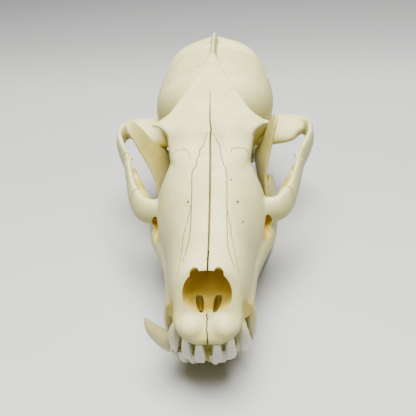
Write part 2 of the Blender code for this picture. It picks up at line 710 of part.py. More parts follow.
def offset_outline(points, grow):
    """A closed outline moved outwards by an equal distance."""
    area = sum(a[0] * b[1] - b[0] * a[1] for a, b in zip(points, points[1:] + points[:1]))
    sense = 1 if area > 0 else -1
    moved = []
    for i, point in enumerate(points):
        here = Vector(point)
        back = (here - Vector(points[i - 1])).normalized()
        forth = (Vector(points[(i + 1) % len(points)]) - here).normalized()
        normal_back = Vector((back.y, -back.x)) * sense
        normal_forth = Vector((forth.y, -forth.x)) * sense
        bisector = (normal_back + normal_forth).normalized()
        moved.append(here + bisector * grow / max(0.2, bisector.dot(normal_back)))
    return moved


def jugal_block(side, grow):
    """The block that holds one cheek bone, bounded by its two real sutures."""
    outline = offset_outline(JUGAL_OUTLINE, grow)
    rings = []
    for x, slant in ((JUGAL_INNER_X - grow, JUGAL_FRONT_SLANT / 2), (JUGAL_OUTER_X, -JUGAL_FRONT_SLANT / 2)):
        rings.append([
            (side * x, y + (slant if y < 60 else 0.0), z) for y, z in outline
        ])
    return mesh_from_rings("block", rings)


def copy_of(thing, name, mirrored=False):
    made = bpy.data.objects.new(name, thing.data.copy())
    bpy.context.scene.collection.objects.link(made)
    if mirrored:
        made.data.transform(Matrix.Diagonal((-1, 1, 1, 1)))
        made.data.flip_normals()
    return made


def teeth_in(rows, side, upward, profile, root_lean=0.0):
    return [tooth("tooth", row, side, upward, profile, root_lean) for row in rows]


def upper_teeth():
    teeth = []
    for side in (-1, 1):
        teeth += teeth_in(UPPER_INCISORS, side, False, INCISOR_PROFILE, INCISOR_ROOT_LEAN)
        teeth += teeth_in(UPPER_CHEEK, side, False, CUSP_PROFILE)
        teeth += teeth_in(UPPER_MOLARS, side, False, MOLAR_PROFILE)
        teeth.append(sweep("tooth", UPPER_CANINE, side, sides=TOOTH_SIDES, step=CANINE_STEP))
    return teeth


def lower_teeth(side):
    half = "left" if side > 0 else "right"
    shift = LOWER_INCISOR_SHIFT[half]
    incisors = [(row[0] + shift, *row[1:]) for row in LOWER_INCISORS]
    teeth = teeth_in(incisors, side, True, INCISOR_PROFILE, INCISOR_ROOT_LEAN)
    teeth += teeth_in(LOWER_CHEEK, side, True, CUSP_PROFILE)
    teeth.append(sweep("tooth", LOWER_CANINE[half], side, sides=TOOTH_SIDES, step=CANINE_STEP))
    return teeth


def mandible(name, side):
    """One half of the lower jaw, with its teeth, in its slipped place and flat where it stands."""
    bone = sweep(name, JAW_BODY, side, sides=20)
    bpy.context.scene.collection.objects.link(bone)
    pieces = [
        blade("piece", JAW_BLADE, side),
        ball("piece", JAW_HINGE_CENTRE, JAW_HINGE_RADII, side),
        sweep("piece", JAW_ANGLE, side),
    ]
    combine(bone, pieces, "UNION")
    soften(bone)
    coarsen(bone, MANDIBLE_TRIANGLES)
    combine(bone, lower_teeth(side), "UNION")
    middle = mesh_from_rings("cutter", [
        [(x * side, y, z) for y, z in CHIN_WINDOW] for x in (NODE_GAP / 2, -CUT_REACH)
    ])
    combine(bone, [middle], "DIFFERENCE")
    bone.data.transform(jaw_pose(side))
    floor = mesh_from_rings("cutter", [
        [(x, y, z) for x, y in FLOOR_WINDOW] for z in (FLOOR_LEVEL, FLOOR_LEVEL - CUT_REACH)
    ])
    combine(bone, [floor], "DIFFERENCE")
    keep_largest(bone)
    return bone


def main():
    for thing in list(bpy.data.objects):
        bpy.data.objects.remove(thing)
    cranium = cranium_bone()
    soften(cranium)
    combine(cranium, cranium_hollows(), "DIFFERENCE")
    jugal = copy_of(cranium, "jugal_left")
    combine(jugal, [jugal_block(1, 0.0)], "INTERSECT")
    keep_largest(jugal)
    coarsen(jugal, JUGAL_TRIANGLES)
    jugals = [jugal, copy_of(jugal, "jugal_right", mirrored=True)]
    combine(cranium, [jugal_block(side, NODE_GAP) for side in (-1, 1)], "DIFFERENCE")
    sockets = []
    for side in (-1, 1):
        socket = ball("cutter", JAW_HINGE_CENTRE, JAW_HINGE_RADII, side, HINGE_GAP)
        socket.data.transform(jaw_pose(side))
        sockets.append(socket)
    combine(cranium, sockets, "DIFFERENCE")
    keep_largest(cranium)
    coarsen(cranium, CRANIUM_TRIANGLES)
    combine(cranium, upper_teeth(), "UNION")
    keep_largest(cranium)
    jaws = [mandible("mandible_left", 1), mandible("mandible_right", -1)]
    middle_y = SKULL_LENGTH / 2
    skull = collection_named("raccoon dog skull")
    for thing in [cranium] + jugals + jaws:
        thing.data.transform(Matrix.Translation(Vector((0, -middle_y, -FLOOR_LEVEL)) * MM))
        settle(thing, JAW_COLOUR if thing in jaws else BONE_COLOUR)
        bpy.context.scene.collection.objects.unlink(thing)
        skull.objects.link(thing)


main()
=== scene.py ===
"""A raccoon dog's skull with its loose lower jaw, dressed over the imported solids.

Sizes are in millimetres in the skull's own frame until a piece is placed: x to the animal's left, y from the
front of the premaxilla to the rear, z up from the plane of the upper tooth sockets.
"""

import math

import bmesh
import bpy
import numpy as np
from mathutils import Matrix, Vector
from mathutils.bvhtree import BVHTree


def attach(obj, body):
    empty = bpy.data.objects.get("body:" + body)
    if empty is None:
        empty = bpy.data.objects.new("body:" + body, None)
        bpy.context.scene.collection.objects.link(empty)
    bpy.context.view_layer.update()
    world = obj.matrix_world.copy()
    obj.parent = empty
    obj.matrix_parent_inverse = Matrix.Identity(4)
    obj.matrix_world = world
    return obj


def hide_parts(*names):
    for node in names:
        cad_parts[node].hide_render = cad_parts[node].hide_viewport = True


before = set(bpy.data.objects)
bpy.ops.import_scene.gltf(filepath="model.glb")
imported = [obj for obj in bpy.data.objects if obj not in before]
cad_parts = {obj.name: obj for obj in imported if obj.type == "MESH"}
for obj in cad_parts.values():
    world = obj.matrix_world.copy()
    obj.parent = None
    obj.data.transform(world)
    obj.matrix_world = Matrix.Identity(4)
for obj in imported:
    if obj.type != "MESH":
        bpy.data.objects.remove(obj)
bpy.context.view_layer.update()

# Lower jaw: two loose halves of dry bone, a little yellower than the skull that they carry, each with its
# upright branch, hinge roller and rear angle. They have slipped to the animal's right and rolled outwards on
# the table.
MM = 0.001
SKULL_LENGTH = 122.0
FLOOR_LEVEL = -20.5
BONE_GAP = 0.3
SKIN_VOXEL = 0.44
EASE_ROUNDS = 8
HOOP_STEP = 1.4
BAR_SIDES = 18
JAW_SIDES = 24
EGG_SIDES = 32
EGG_RINGS = 20
# A path steeper than this takes the bearing of its sections from the skull's length, not from its height
STEEP = 0.85
JAW_ROLL = {"left": 10.5, "right": 8.5}
JAW_FRONT = (0.0, 8.0, -10.0)
JAW_REAR = (19.2, 72.0, 1.0)
JAW_SLIP = {
    "left": {"front": (-2.2, 0.0, -1.0), "rear": (-0.9, 0.0, -0.2)},
    "right": {"front": (-2.3, 0.0, 0.3), "rear": (-1.0, 0.3, -0.9)},
}
# x, y, z, half thickness, half height, and in some tables the lean of the section in degrees
JAW_BODY = [
    (3.0, 6.0, -10.0, 3.3, 1.8),
    (3.5, 9.5, -11.6, 3.8, 3.6),
    (3.9, 14.0, -13.2, 4.2, 4.8),
    (4.4, 20.0, -14.4, 4.0, 5.3),
    (6.2, 28.0, -15.2, 2.8, 5.5),
    (8.6, 38.0, -15.6, 2.6, 5.6),
    (11.4, 48.0, -15.3, 2.7, 5.5),
    (14.0, 56.0, -14.8, 2.7, 5.5),
    (16.0, 63.0, -14.2, 2.4, 6.4),
    (17.6, 70.0, -13.5, 2.0, 7.7),
    (18.5, 76.0, -13.0, 1.8, 8.5),
    (19.0, 81.5, -12.4, 1.6, 8.7),
    (19.2, 86.0, -9.4, 1.5, 7.2),
    (19.0, 89.0, -6.0, 1.4, 5.0),
]
# z, front y, rear y, front x, rear x, half thickness
JAW_BLADE = [
    (-15.0, 64.5, 82.0, 18.4, 18.6, 1.5),
    (-9.0, 64.4, 87.5, 18.6, 18.6, 1.6),
    (-3.0, 66.6, 90.2, 18.6, 18.2, 1.5),
    (2.0, 68.8, 90.6, 18.8, 18.0, 1.4),
    (6.0, 70.6, 88.6, 19.6, 18.6, 1.3),
    (9.0, 71.8, 85.6, 20.6, 19.8, 1.2),
    (13.0, 73.4, 84.4, 22.2, 21.4, 1.1),
    (18.0, 75.2, 84.2, 24.1, 23.4, 1.0),
    (20.6, 76.4, 84.0, 25.3, 24.7, 0.8),
    (22.0, 78.2, 82.2, 25.9, 25.6, 0.5),
]
# How far the rear edge of each branch is turned inwards: from nothing at the top level to all of it below
BLADE_TURN = {"left": 2.8, "right": 1.2}
BLADE_TURN_TOP = 20.0
BLADE_TURN_DEPTH = 12.0
BLADE_SIDES = 30
BLADE_SQUARENESS = 0.8
JAW_HINGE = ((22.6, 90.8, 5.6), (5.6, 2.4, 2.5))
JAW_ANGLE = [
    (19.0, 84.0, -12.0, 1.3, 3.4),
    (19.2, 89.0, -10.6, 1.2, 2.2),
    (19.2, 93.6, -8.8, 0.9, 1.0),
]
# Outlines of the cutters that part the halves at the middle (y, z) and flatten them on the table (x, y)
MIDDLE_CUT = [(-20, -60), (60, -60), (60, 30), (-20, 30)]
MIDDLE_CUT_REACH = 60
TABLE_CUT = [(-60, -20), (60, -20), (60, 140), (-60, 140)]
TABLE_CUT_DEPTH = 20
# Fat stain in the jaw, and painted shade at the chin, the hinge and the inner branch: x, y, z, reach,
# strength
JAW_STAIN_AND_SHADE = [
    (20.0, 79.0, 8.0, 13.0, 0.62), (18.6, 72.0, -4.0, 8.0, 0.8), (22.6, 90.8, 5.6, 8.0, 1.0),
    (2.0, 5.0, -9.0, 4.6, 1.0), (5.0, 14.0, -12.0, 6.0, 0.2),
]
# Skin that faces up less than this is a wall and takes painted shade, all of it once it has turned by the
# span
WALL_START = 0.9
WALL_SPAN = 0.75


def read(table, at):
    """The columns of a table of stations, read between its rows without overshooting."""
    keys = [row[0] for row in table]
    at = min(max(at, keys[0]), keys[-1])
    right = next(i for i in range(1, len(keys)) if at <= keys[i])
    left = right - 1
    span = keys[right] - keys[left]
    part = (at - keys[left]) / span
    values = []
    for column in range(1, len(table[0])):
        start, end = table[left][column], table[right][column]
        slopes = []
        for i in (left, right):
            if i in (0, len(keys) - 1):
                slopes.append((end - start) / span)
                continue
            before = (table[i][column] - table[i - 1][column]) / (keys[i] - keys[i - 1])
            after = (table[i + 1][column] - table[i][column]) / (keys[i + 1] - keys[i])
            slopes.append(2 * before * after / (before + after) if before * after > 0 else 0.0)
        bend = part * part * (3 - 2 * part)
        values.append(
            start + (end - start) * bend
            + span * part * (1 - part) * (slopes[0] * (1 - part) - slopes[1] * part)
        )
    return values


def marks(first, last, step):
    """Even marks between two values, no further apart than the step."""
    count = max(2, math.ceil(abs(last - first) / step))
    return [first + (last - first) * i / count for i in range(count + 1)]


def squared(value, squareness):
    """A sine or cosine bent towards a rounded square."""
    return math.copysign(abs(value) ** squareness, value)


def finished(name, shape):
    """An object of the shape that has been modelled."""
    mesh = bpy.data.meshes.new(name)
    shape.to_mesh(mesh)
    shape.free()
    return bpy.data.objects.new(name, mesh)


def hooped(name, hoops):
    """A closed skin stretched over hoops of points, each hoop a circle pulled to its points."""
    shape = bmesh.new()
    before = None
    for hoop in hoops:
        circle = bmesh.ops.create_circle(shape, segments=len(hoop), radius=1.0)["verts"]
        for vert, point in zip(circle, hoop):
            vert.co = Vector(point) * MM
        edges = list({edge for vert in circle for edge in vert.link_edges})
        if before:
            bmesh.ops.bridge_loops(shape, edges=before + edges)
        before = edges
    bmesh.ops.holes_fill(shape, edges=shape.edges)
    bmesh.ops.recalc_face_normals(shape, faces=shape.faces)
    return finished(name, shape)


def bar_hoops(rows, side=1, sides=BAR_SIDES, step=HOOP_STEP):
    """Oval sections square to a path, each leaning inwards at its top."""
    table = []
    run = 0.0
    for i, (x, y, z, thick, tall, *lean) in enumerate(rows):
        if i:
            run += math.dist(rows[i - 1][:3], rows[i][:3])
        table.append((run, side * x, y, z, thick, tall, *(lean or [0])))
    samples = [read(table, at) for at in marks(0.0, run, step)]
    hoops = []
    for i, (x, y, z, thick, tall, lean) in enumerate(samples):
        along = Vector(samples[min(i + 1, len(samples) - 1)][:3]) - Vector(samples[max(i - 1, 0)][:3])
        along.normalize()
        guide = Vector((0, 0, 1)) if abs(along.z) < STEEP else Vector((0, 1, 0))
        across = Matrix.Rotation(math.radians(-side * lean), 3, along) @ along.cross(guide).normalized()
        up = across.cross(along)
        turns = [2 * math.pi * j / sides for j in range(sides)]
        hoops.append([
            Vector((x, y, z)) + across * (thick * math.cos(turn)) + up * (tall * math.sin(turn))
            for turn in turns
        ])
    return hoops


def bar_piece(rows, side=1, sides=BAR_SIDES, step=HOOP_STEP):
    return hooped("part", bar_hoops(rows, side, sides, step))


def egg(centre, radii, side=1, grow=0.0):
    """An egg with its radii along the three axes, on one side of the skull."""
    shape = bmesh.new()
    bmesh.ops.create_uvsphere(shape, u_segments=EGG_SIDES, v_segments=EGG_RINGS, radius=1.0)
    size = Matrix.Diagonal([(radius + grow) * MM for radius in radii] + [1.0])
    shift = Matrix.Translation(Vector((side * centre[0], centre[1], centre[2])) * MM)
    bmesh.ops.transform(shape, matrix=shift @ size, verts=shape.verts)
    return finished("part", shape)


def settle_mesh(thing):
    """Keep the mesh that the modifiers give, and drop them."""
    bpy.context.view_layer.update()
    kept = bpy.data.meshes.new_from_object(thing.evaluated_get(bpy.context.evaluated_depsgraph_get()))
    thing.modifiers.clear()
    thing.data = kept


def combine(thing, others, operation):
    """Join the others to the thing, cut them from it, or keep what they share, and use them up."""
    group = bpy.data.collections.new("operands")
    bpy.context.scene.collection.children.link(group)
    for other in others:
        group.objects.link(other)
    boolean = thing.modifiers.new("combine", "BOOLEAN")
    boolean.operation = operation
    boolean.operand_type = "COLLECTION"
    boolean.collection = group
    boolean.solver = "MANIFOLD"
    settle_mesh(thing)
    for other in others:
        bpy.data.objects.remove(other)
    bpy.data.collections.remove(group)


def melt(thing):
    """One skin over the joined pieces, eased where they met."""
    remesh = thing.modifiers.new("melt", "REMESH")
    remesh.mode = "VOXEL"
    remesh.voxel_size = SKIN_VOXEL * MM
    ease = thing.modifiers.new("ease", "SMOOTH")
    ease.factor = 0.5
    ease.iterations = EASE_ROUNDS
    settle_mesh(thing)


def main_shell(thing):
    """Keep only the largest closed surface."""
    shape = bmesh.new()
    shape.from_mesh(thing.data)
    left = set(shape.verts)
    shells = []
    while left:
        start = left.pop()
        shell, queue = [start], [start]
        while queue:
            for edge in queue.pop().link_edges:
                for vert in edge.verts:
                    if vert in left:
                        left.remove(vert)
                        shell.append(vert)
                        queue.append(vert)
        shells.append(shell)
    shells.sort(key=len)
    bmesh.ops.delete(shape, geom=[vert for shell in shells[:-1] for vert in shell], context="VERTS")
    shape.to_mesh(thing.data)
    shape.free()


def jaw_pose(side):
    """How one half has slipped at its two ends and rolled about the line between them."""
    half = "left" if side > 0 else "right"
    slip = JAW_SLIP[half]
    front, rear = Vector(JAW_FRONT), Vector((side * JAW_REAR[0], JAW_REAR[1], JAW_REAR[2]))
    new_front, new_rear = front + Vector(slip["front"]), rear + Vector(slip["rear"])
    swing = (rear - front).rotation_difference(new_rear - new_front).to_matrix().to_4x4()
    roll = Matrix.Rotation(math.radians(-JAW_ROLL[half]), 4, new_rear - new_front)
    return Matrix.Translation(new_front * MM) @ roll @ swing @ Matrix.Translation(-front * MM)


def jaw_blade(side):
    """The upright branch of one half: a flat oval at each level, its rear edge turned in below the tip."""
    half = "left" if side > 0 else "right"
    hoops = []
    for z in marks(JAW_BLADE[0][0], JAW_BLADE[-1][0], HOOP_STEP):
        front, rear, front_x, rear_x, thick = read(JAW_BLADE, z)
        rear_x -= BLADE_TURN[half] * min(1.0, max(0.0, (BLADE_TURN_TOP - z) / BLADE_TURN_DEPTH))
        hoop = []
        for i in range(BLADE_SIDES):
            turn = 2 * math.pi * i / BLADE_SIDES
            back = squared(math.cos(turn), BLADE_SQUARENESS)
            x = (front_x + rear_x) / 2 + (rear_x - front_x) / 2 * back
            y = (front + rear) / 2 + (rear - front) / 2 * back
            hoop.append((side * x + thick * math.sin(turn), y, z))
        hoops.append(hoop)
    return hooped("part", hoops)


def slab(corners, first, last, axis):
    """A flat-sided cutter between two levels of one axis."""
    hoops = []
    for level in (first, last):
        hoops.append([Vector(corner[:axis] + (level,) + corner[axis:]) for corner in corners])
    return hooped("cutter", hoops)


def node(tree, kind, settings, *sources, **links):
    """Add a shader node: properties and fixed inputs from settings, linked inputs in order or by name."""
    made = tree.nodes.new(kind)
    for name, value in settings.items():
        if isinstance(name, int) or name in made.inputs:
            made.inputs[name].default_value = value
        else:
            setattr(made, name, value)
    for socket, source in zip(made.inputs, sources):
        if source is not None:
            tree.links.new(source, socket)
    for name, source in links.items():
        tree.links.new(source, made.inputs[name])
    return made


def set_shader(shader, values):
    """Set what is the same all over a surface on the shader's own sockets."""
    for name, value in values.items():
        shader.inputs[name].default_value = value


def linear(hexed, alpha=1.0):
    """An sRGB hex colour as the linear values that the shader takes."""
    values = []
    for i in (0, 2, 4):
        value = int(hexed[i:i + 2], 16) / 255
        values.append(value / 12.92 if value <= 0.04045 else ((value + 0.055) / 1.055) ** 2.4)
    return (*values, alpha)


def new_finish(name):
    """A new material, with its nodes, its shader and the place on the piece that its patterns are read at."""
    look = bpy.data.materials.new(name)
    look.use_nodes = True
    tree = look.node_tree
    where = node(tree, "ShaderNodeTexCoord", {}).outputs["Object"]
    return look, tree, tree.nodes["Principled BSDF"], where


# A fade into a hollow is measured rearwards and, by this much, upwards
FADE_RISE = 0.45


def bone_finish(name, pale, dull, stain_and_shade_tone, painted_shade, fade=None):
    """Bleached bone: close-grained and matt, a little waxy in the light, warmer where fat has stayed and
    where painted shade falls in hollows and on walls.

    A fade gives where the painted light of a hollow's mouth ends, where the hollow's own tone starts, and the
    colour painted on the lit mouth.
    """
    look, tree, surface, where = new_finish(name)
    # Drifts of tone about 10 mm across
    drift = node(tree, "ShaderNodeTexNoise", {"Scale": 100.0, "Detail": 4.0, "Roughness": 0.62}, Vector=where)
    spread = node(
        tree, "ShaderNodeMapRange", {"From Min": 0.35, "From Max": 0.68}, Value=drift.outputs["Fac"]
    )
    tone = node(
        tree, "ShaderNodeMixRGB", {"Color1": linear(pale), "Color2": linear(dull)},
        Fac=spread.outputs["Result"],
    )
    if fade:
        # Painted light: near the mouth of a hollow, where direct light falls, the colour fades to the lit
        # mouth's tone
        mouth_end, raw_start, lit_mouth_tone = fade
        axes = node(tree, "ShaderNodeSeparateXYZ", {}, Vector=where)
        depth = node(
            tree, "ShaderNodeMath", {"operation": "MULTIPLY_ADD", 1: FADE_RISE},
            axes.outputs["Z"], None, axes.outputs["Y"],
        )
        near = node(
            tree, "ShaderNodeMapRange",
            {"From Min": mouth_end, "From Max": raw_start, "To Min": 1.0, "To Max": 0.0},
            Value=depth.outputs["Value"],
        )
        tone = node(
            tree, "ShaderNodeMixRGB", {"Color2": linear(lit_mouth_tone)}, Fac=near.outputs["Result"],
            Color1=tone.outputs["Color"],
        )
    # Painted shade: walls that face sideways, and the places marked for it, take a darker, yellower tone
    shaded = node(tree, "ShaderNodeAttribute", {"attribute_name": "painted_shade"})
    tone = node(
        tree, "ShaderNodeMixRGB", {"Color2": linear(painted_shade)}, Fac=shaded.outputs["Fac"],
        Color1=tone.outputs["Color"],
    )
    warmth = node(tree, "ShaderNodeAttribute", {"attribute_name": "warmth"})
    # The warmth marks hold fat stain and painted shade, blotched at 2 to 3 mm
    blotch = node(tree, "ShaderNodeTexNoise", {"Scale": 420.0, "Detail": 3.0, "Roughness": 0.6}, Vector=where)
    uneven = node(tree, "ShaderNodeMapRange", {"To Min": 0.45, "To Max": 1.5}, Value=blotch.outputs["Fac"])
    share = node(
        tree, "ShaderNodeMath", {"operation": "MULTIPLY", "use_clamp": True},
        warmth.outputs["Fac"], uneven.outputs["Result"],
    )
    stained_and_shaded = node(
        tree, "ShaderNodeMixRGB", {"Color2": linear(stain_and_shade_tone)}, Fac=share.outputs["Value"],
        Color1=tone.outputs["Color"],
    )
    tree.links.new(stained_and_shaded.outputs["Color"], surface.inputs["Base Color"])
    # Pores are about 0.1 mm; drawn at 0.5 mm, the finest that shows
    pores = node(tree, "ShaderNodeTexNoise", {"Scale": 2000.0, "Detail": 2.0, "Roughness": 0.7}, Vector=where)
    swell = node(tree, "ShaderNodeTexNoise", {"Scale": 330.0, "Detail": 3.0, "Roughness": 0.5}, Vector=where)
    fine = node(tree, "ShaderNodeBump", {"Strength": 0.25, "Distance": 0.0001}, Height=pores.outputs["Fac"])
    relief = node(
        tree, "ShaderNodeBump", {"Strength": 0.35, "Distance": 0.0004},
        Height=swell.outputs["Fac"], Normal=fine.outputs["Normal"],
    )
    tree.links.new(relief.outputs["Normal"], surface.inputs["Normal"])
    set_shader(surface, {
        "Roughness": 0.48, "IOR": 1.5, "Subsurface Weight": 0.1, "Subsurface Radius": (1.0, 0.9, 0.6),
        "Subsurface Scale": 0.001,
    })
    return look


def mark(thing, name, value):
    """Keep one number for every point of a mesh, for its material to read."""
    layer = thing.data.attributes.new(name, "FLOAT", "POINT")
    layer.data.foreach_set("value", value)


def per_point(thing, name):
    """The place or the facing of every point of a mesh, as rows."""
    flat = np.empty(len(thing.data.vertices) * 3)
    thing.data.vertices.foreach_get(name, flat)
    return flat.reshape(-1, 3)


def nearness(thing, places):
    """How near each point of the skin is to the places on both sides: x, y, z, reach, strength."""
    points = per_point(thing, "co") / MM
    points[:, 0] = np.abs(points[:, 0])
    value = np.zeros(len(points))
    for x, y, z, reach, strength in places:
        far = np.linalg.norm(points - (x, y, z), axis=1) / reach
        value = np.maximum(value, strength * np.exp(-far * far))
    return value


def mark_stain_and_shade(thing, stain_and_shade_places, painted_shade_places=()):
    """Mark fat stain and painted shade in hollows at the given places, and painted shade on walls and at the
    shaded places.
    """
    wall = np.clip((WALL_START - per_point(thing, "normal")[:, 2]) / WALL_SPAN, 0, 1)
    mark(thing, "warmth", nearness(thing, stain_and_shade_places))
    mark(thing, "painted_shade", np.maximum(wall, nearness(thing, painted_shade_places)))


TO_WORLD = Matrix.Translation(Vector((0, -SKULL_LENGTH / 2, -FLOOR_LEVEL)) * MM)


def place(piece, stands_for):
    """Move a finished piece from the skull's frame to the table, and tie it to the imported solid."""
    piece.data.transform(TO_WORLD)
    piece.data.shade_smooth()
    piece.data.set_sharp_from_angle(angle=math.radians(55))
    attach(piece, "root")
    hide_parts(stands_for)


JAW_BONE = bone_finish("yellowed jaw bone", "e4dd9e", "d4cc82", "a08e22", "bcb676")
for side, name in ((1, "mandible_left"), (-1, "mandible_right")):
    jaw = bar_piece(JAW_BODY, side, JAW_SIDES)
    jaw.name = name + "_bone"
    bpy.context.scene.collection.objects.link(jaw)
    combine(jaw, [jaw_blade(side), egg(*JAW_HINGE, side), bar_piece(JAW_ANGLE, side)], "UNION")
    melt(jaw)
    combine(jaw, [slab(MIDDLE_CUT, side * BONE_GAP / 2, side * -MIDDLE_CUT_REACH, 0)], "DIFFERENCE")
    # Fat stain and painted shade in the jaw's hollows, and painted shade on its walls
    mark_stain_and_shade(jaw, JAW_STAIN_AND_SHADE)
    jaw.data.transform(jaw_pose(side))
    combine(jaw, [slab(TABLE_CUT, FLOOR_LEVEL, FLOOR_LEVEL - TABLE_CUT_DEPTH, 2)], "DIFFERENCE")
    main_shell(jaw)
    jaw.data.materials.clear()
    jaw.data.materials.append(JAW_BONE)
    place(jaw, name)

# Lower teeth: three incisors, one canine, four premolars and three molars to a side, of white enamel over
# yellower dentine, each rooted in its socket. They keep the slip and roll of their half of the jaw.
ROOT = 2.4
ROOT_LEAN = 0.7
LOWER_CANINE = {
    "left": [
        (6.2, 11.4, -12.0, 1.9, 2.5),
        (8.7, 9.1, -8.9, 1.9, 2.3),
        (10.5, 8.5, -5.7, 1.7, 2.0),
        (12.0, 8.4, -2.9, 1.2, 1.5),
        (12.8, 8.5, -0.9, 0.35, 0.4),
    ],
    "right": [
        (5.6, 11.4, -11.6, 1.9, 2.6),
        (7.0, 8.5, -7.8, 2.1, 2.7),
        (9.3, 7.2, -3.8, 2.0, 2.35),
        (11.2, 7.3, -0.3, 1.4, 1.8),
        (12.3, 8.2, 2.6, 0.4, 0.5),
    ],
}
# x, y, socket level, turn of the row, length, width, height
LOWER_INCISORS = [
    (1.4, 3.6, -9.2, 82.0, 1.9, 2.2, 3.4),
    (3.6, 4.2, -9.2, 72.0, 2.3, 2.4, 3.8),
    (5.8, 5.6, -9.2, 54.0, 2.6, 2.8, 3.2),
]
LOWER_INCISOR_SHIFT = {"left": 2.4, "right": 0.2}
INCISOR_LEAN = {"lower": 0.25, "upper": 0.12}
CANINE_SIDES = 16
CANINE_STEP = 0.8
# The cusps of a crown: along and across it as shares of its half size, height share, reach along and across
PEG = [(0.0, 0.0, 1.0, 0.7, 0.8)]
PREMOLAR = [(-0.1, 0.0, 1.0, 0.62, 0.8), (0.62, 0.0, 0.42, 0.4, 0.7), (-0.8, 0.0, 0.2, 0.3, 0.6)]
LOWER_SHEAR = [
    (-0.62, 0.1, 0.72, 0.34, 0.7), (-0.12, 0.1, 1.0, 0.36, 0.7), (0.02, -0.5, 0.62, 0.24, 0.5),
    (0.62, 0.3, 0.42, 0.34, 0.5), (0.66, -0.4, 0.36, 0.34, 0.5),
]
GRINDER = [
    (-0.45, 0.45, 1.0, 0.45, 0.5), (-0.45, -0.45, 0.85, 0.45, 0.5),
    (0.5, 0.4, 0.7, 0.45, 0.5), (0.5, -0.4, 0.55, 0.45, 0.5),
]
LOWER_CHEEK = [
    ((6.6, 16.6, -9.4, 8.0, 2.8, 2.2, 2.4), PEG),
    ((6.7, 22.2, -9.9, 12.0, 6.0, 2.6, 3.4), PREMOLAR),
    ((7.6, 29.6, -10.2, 14.0, 6.8, 2.8, 3.8), PREMOLAR),
    ((9.2, 37.6, -10.2, 14.0, 7.6, 3.2, 4.4), PREMOLAR),
    ((11.9, 48.2, -10.0, 14.0, 12.6, 4.6, 5.2), LOWER_SHEAR),
    ((14.8, 58.4, -9.6, 14.0, 7.0, 4.6, 3.0), GRINDER),
    ((16.2, 63.8, -9.2, 14.0, 3.2, 3.0, 1.8), PEG),
]
# A crown: how round its footprint is, how steeply its rim and its cusps fall, and its height between cusps
CROWN_ROUND = 0.36
CROWN_RIM = 5
CUSP_BEND = 1.4
CUSP_FALL = 0.75
CROWN_LEAST = 0.16
# The neck below a crown: drop as a share of its height, share of its size
CROWN_NECK = ((0.12, 1.0), (0.3, 0.92))
ROOT_SIZE = 0.72
# An incisor above its root: height share, shares of its length and of its width
CHISEL = [
    (-0.1, 0.64, 0.86), (0.06, 0.74, 0.98), (0.3, 0.9, 1.0), (0.55, 1.0, 0.82), (0.78, 1.02, 0.56),
    (0.92, 0.97, 0.34), (1.0, 0.84, 0.16),
]
CHISEL_ROOT = (0.55, 0.7)
CHISEL_SIDES = 20
CHISEL_SQUARENESS = 0.8


def row_axes(side, turn):
    """Which way a tooth's row runs and which way is outwards from it."""
    along = Vector((side * math.sin(math.radians(turn)), math.cos(math.radians(turn)), 0))
    return along, Vector((side * along.y, -side * along.x, 0))


def cusped_tooth(row, cusps, side, rise):
    """A crown raised to its cusps over a rounded footprint, drawn in at the neck, on a sunk root."""
    x, y, level, turn, length, width, height = row
    along, outward = row_axes(side, turn)
    shape = bmesh.new()
    crown = bmesh.ops.create_grid(shape, x_segments=16, y_segments=10, size=1.0)["verts"]
    for vert in crown:
        u, w = vert.co.x, vert.co.y
        rim = 1 - max(abs(u), abs(w)) ** CROWN_RIM
        peak = max(
            share * max(0.0, 1 - math.hypot((u - at) / reach, (w - over) / spread) ** CUSP_BEND * CUSP_FALL)
            for at, over, share, reach, spread in cusps
        )
        vert.co = (
            u * math.sqrt(1 - CROWN_ROUND * w * w), w * math.sqrt(1 - CROWN_ROUND * u * u),
            (CROWN_LEAST + (1 - CROWN_LEAST) * peak) * rim,
        )
    bmesh.ops.smooth_vert(
        shape, verts=[vert for vert in crown if not vert.is_boundary], factor=0.3,
        use_axis_x=True, use_axis_y=True, use_axis_z=True,
    )
    for drop, size in (*CROWN_NECK, (ROOT / height, ROOT_SIZE)):
        rim_edges = [edge for edge in shape.edges if edge.is_boundary]
        made = bmesh.ops.extrude_edge_only(shape, edges=rim_edges)["geom"]
        for vert in made:
            if isinstance(vert, bmesh.types.BMVert):
                vert.co = (vert.co.x * size, vert.co.y * size, -drop)
    bmesh.ops.holes_fill(shape, edges=shape.edges)
    for vert in shape.verts:
        u, w, h = vert.co
        vert.co = (
            Vector((side * x, y, level)) + along * (u * length / 2) + outward * (w * width / 2)
            + Vector((0, 0, rise * h * height))
        ) * MM
    bmesh.ops.recalc_face_normals(shape, faces=shape.faces)
    return finished("tooth", shape)


def chisel_tooth(row, side, rise, lean):
    """An incisor: a flat-edged crown widening from its neck, thinning to its biting edge."""
    x, y, level, turn, length, width, height = row
    along, outward = row_axes(side, turn)
    hoops = []
    for share, long, wide in ((-ROOT / height, *CHISEL_ROOT), *CHISEL):
        tip = lean if share > 0 else ROOT_LEAN
        centre = Vector((side * x, y, level + rise * share * height)) + outward * (tip * share * height)
        hoop = []
        for i in range(CHISEL_SIDES):
            turn_round = 2 * math.pi * i / CHISEL_SIDES
            hoop.append(
                centre + along * (length / 2 * long * squared(math.cos(turn_round), CHISEL_SQUARENESS))
                + outward * (width / 2 * wide * squared(math.sin(turn_round), CHISEL_SQUARENESS))
            )
        hoops.append(hoop)
    return hooped("tooth", hoops)


def join_meshes(name, things):
    """One object from separate closed teeth."""
    shape = bmesh.new()
    for thing in things:
        shape.from_mesh(thing.data)
        bpy.data.objects.remove(thing)
    made = finished(name, shape)
    bpy.context.scene.collection.objects.link(made)
    return made


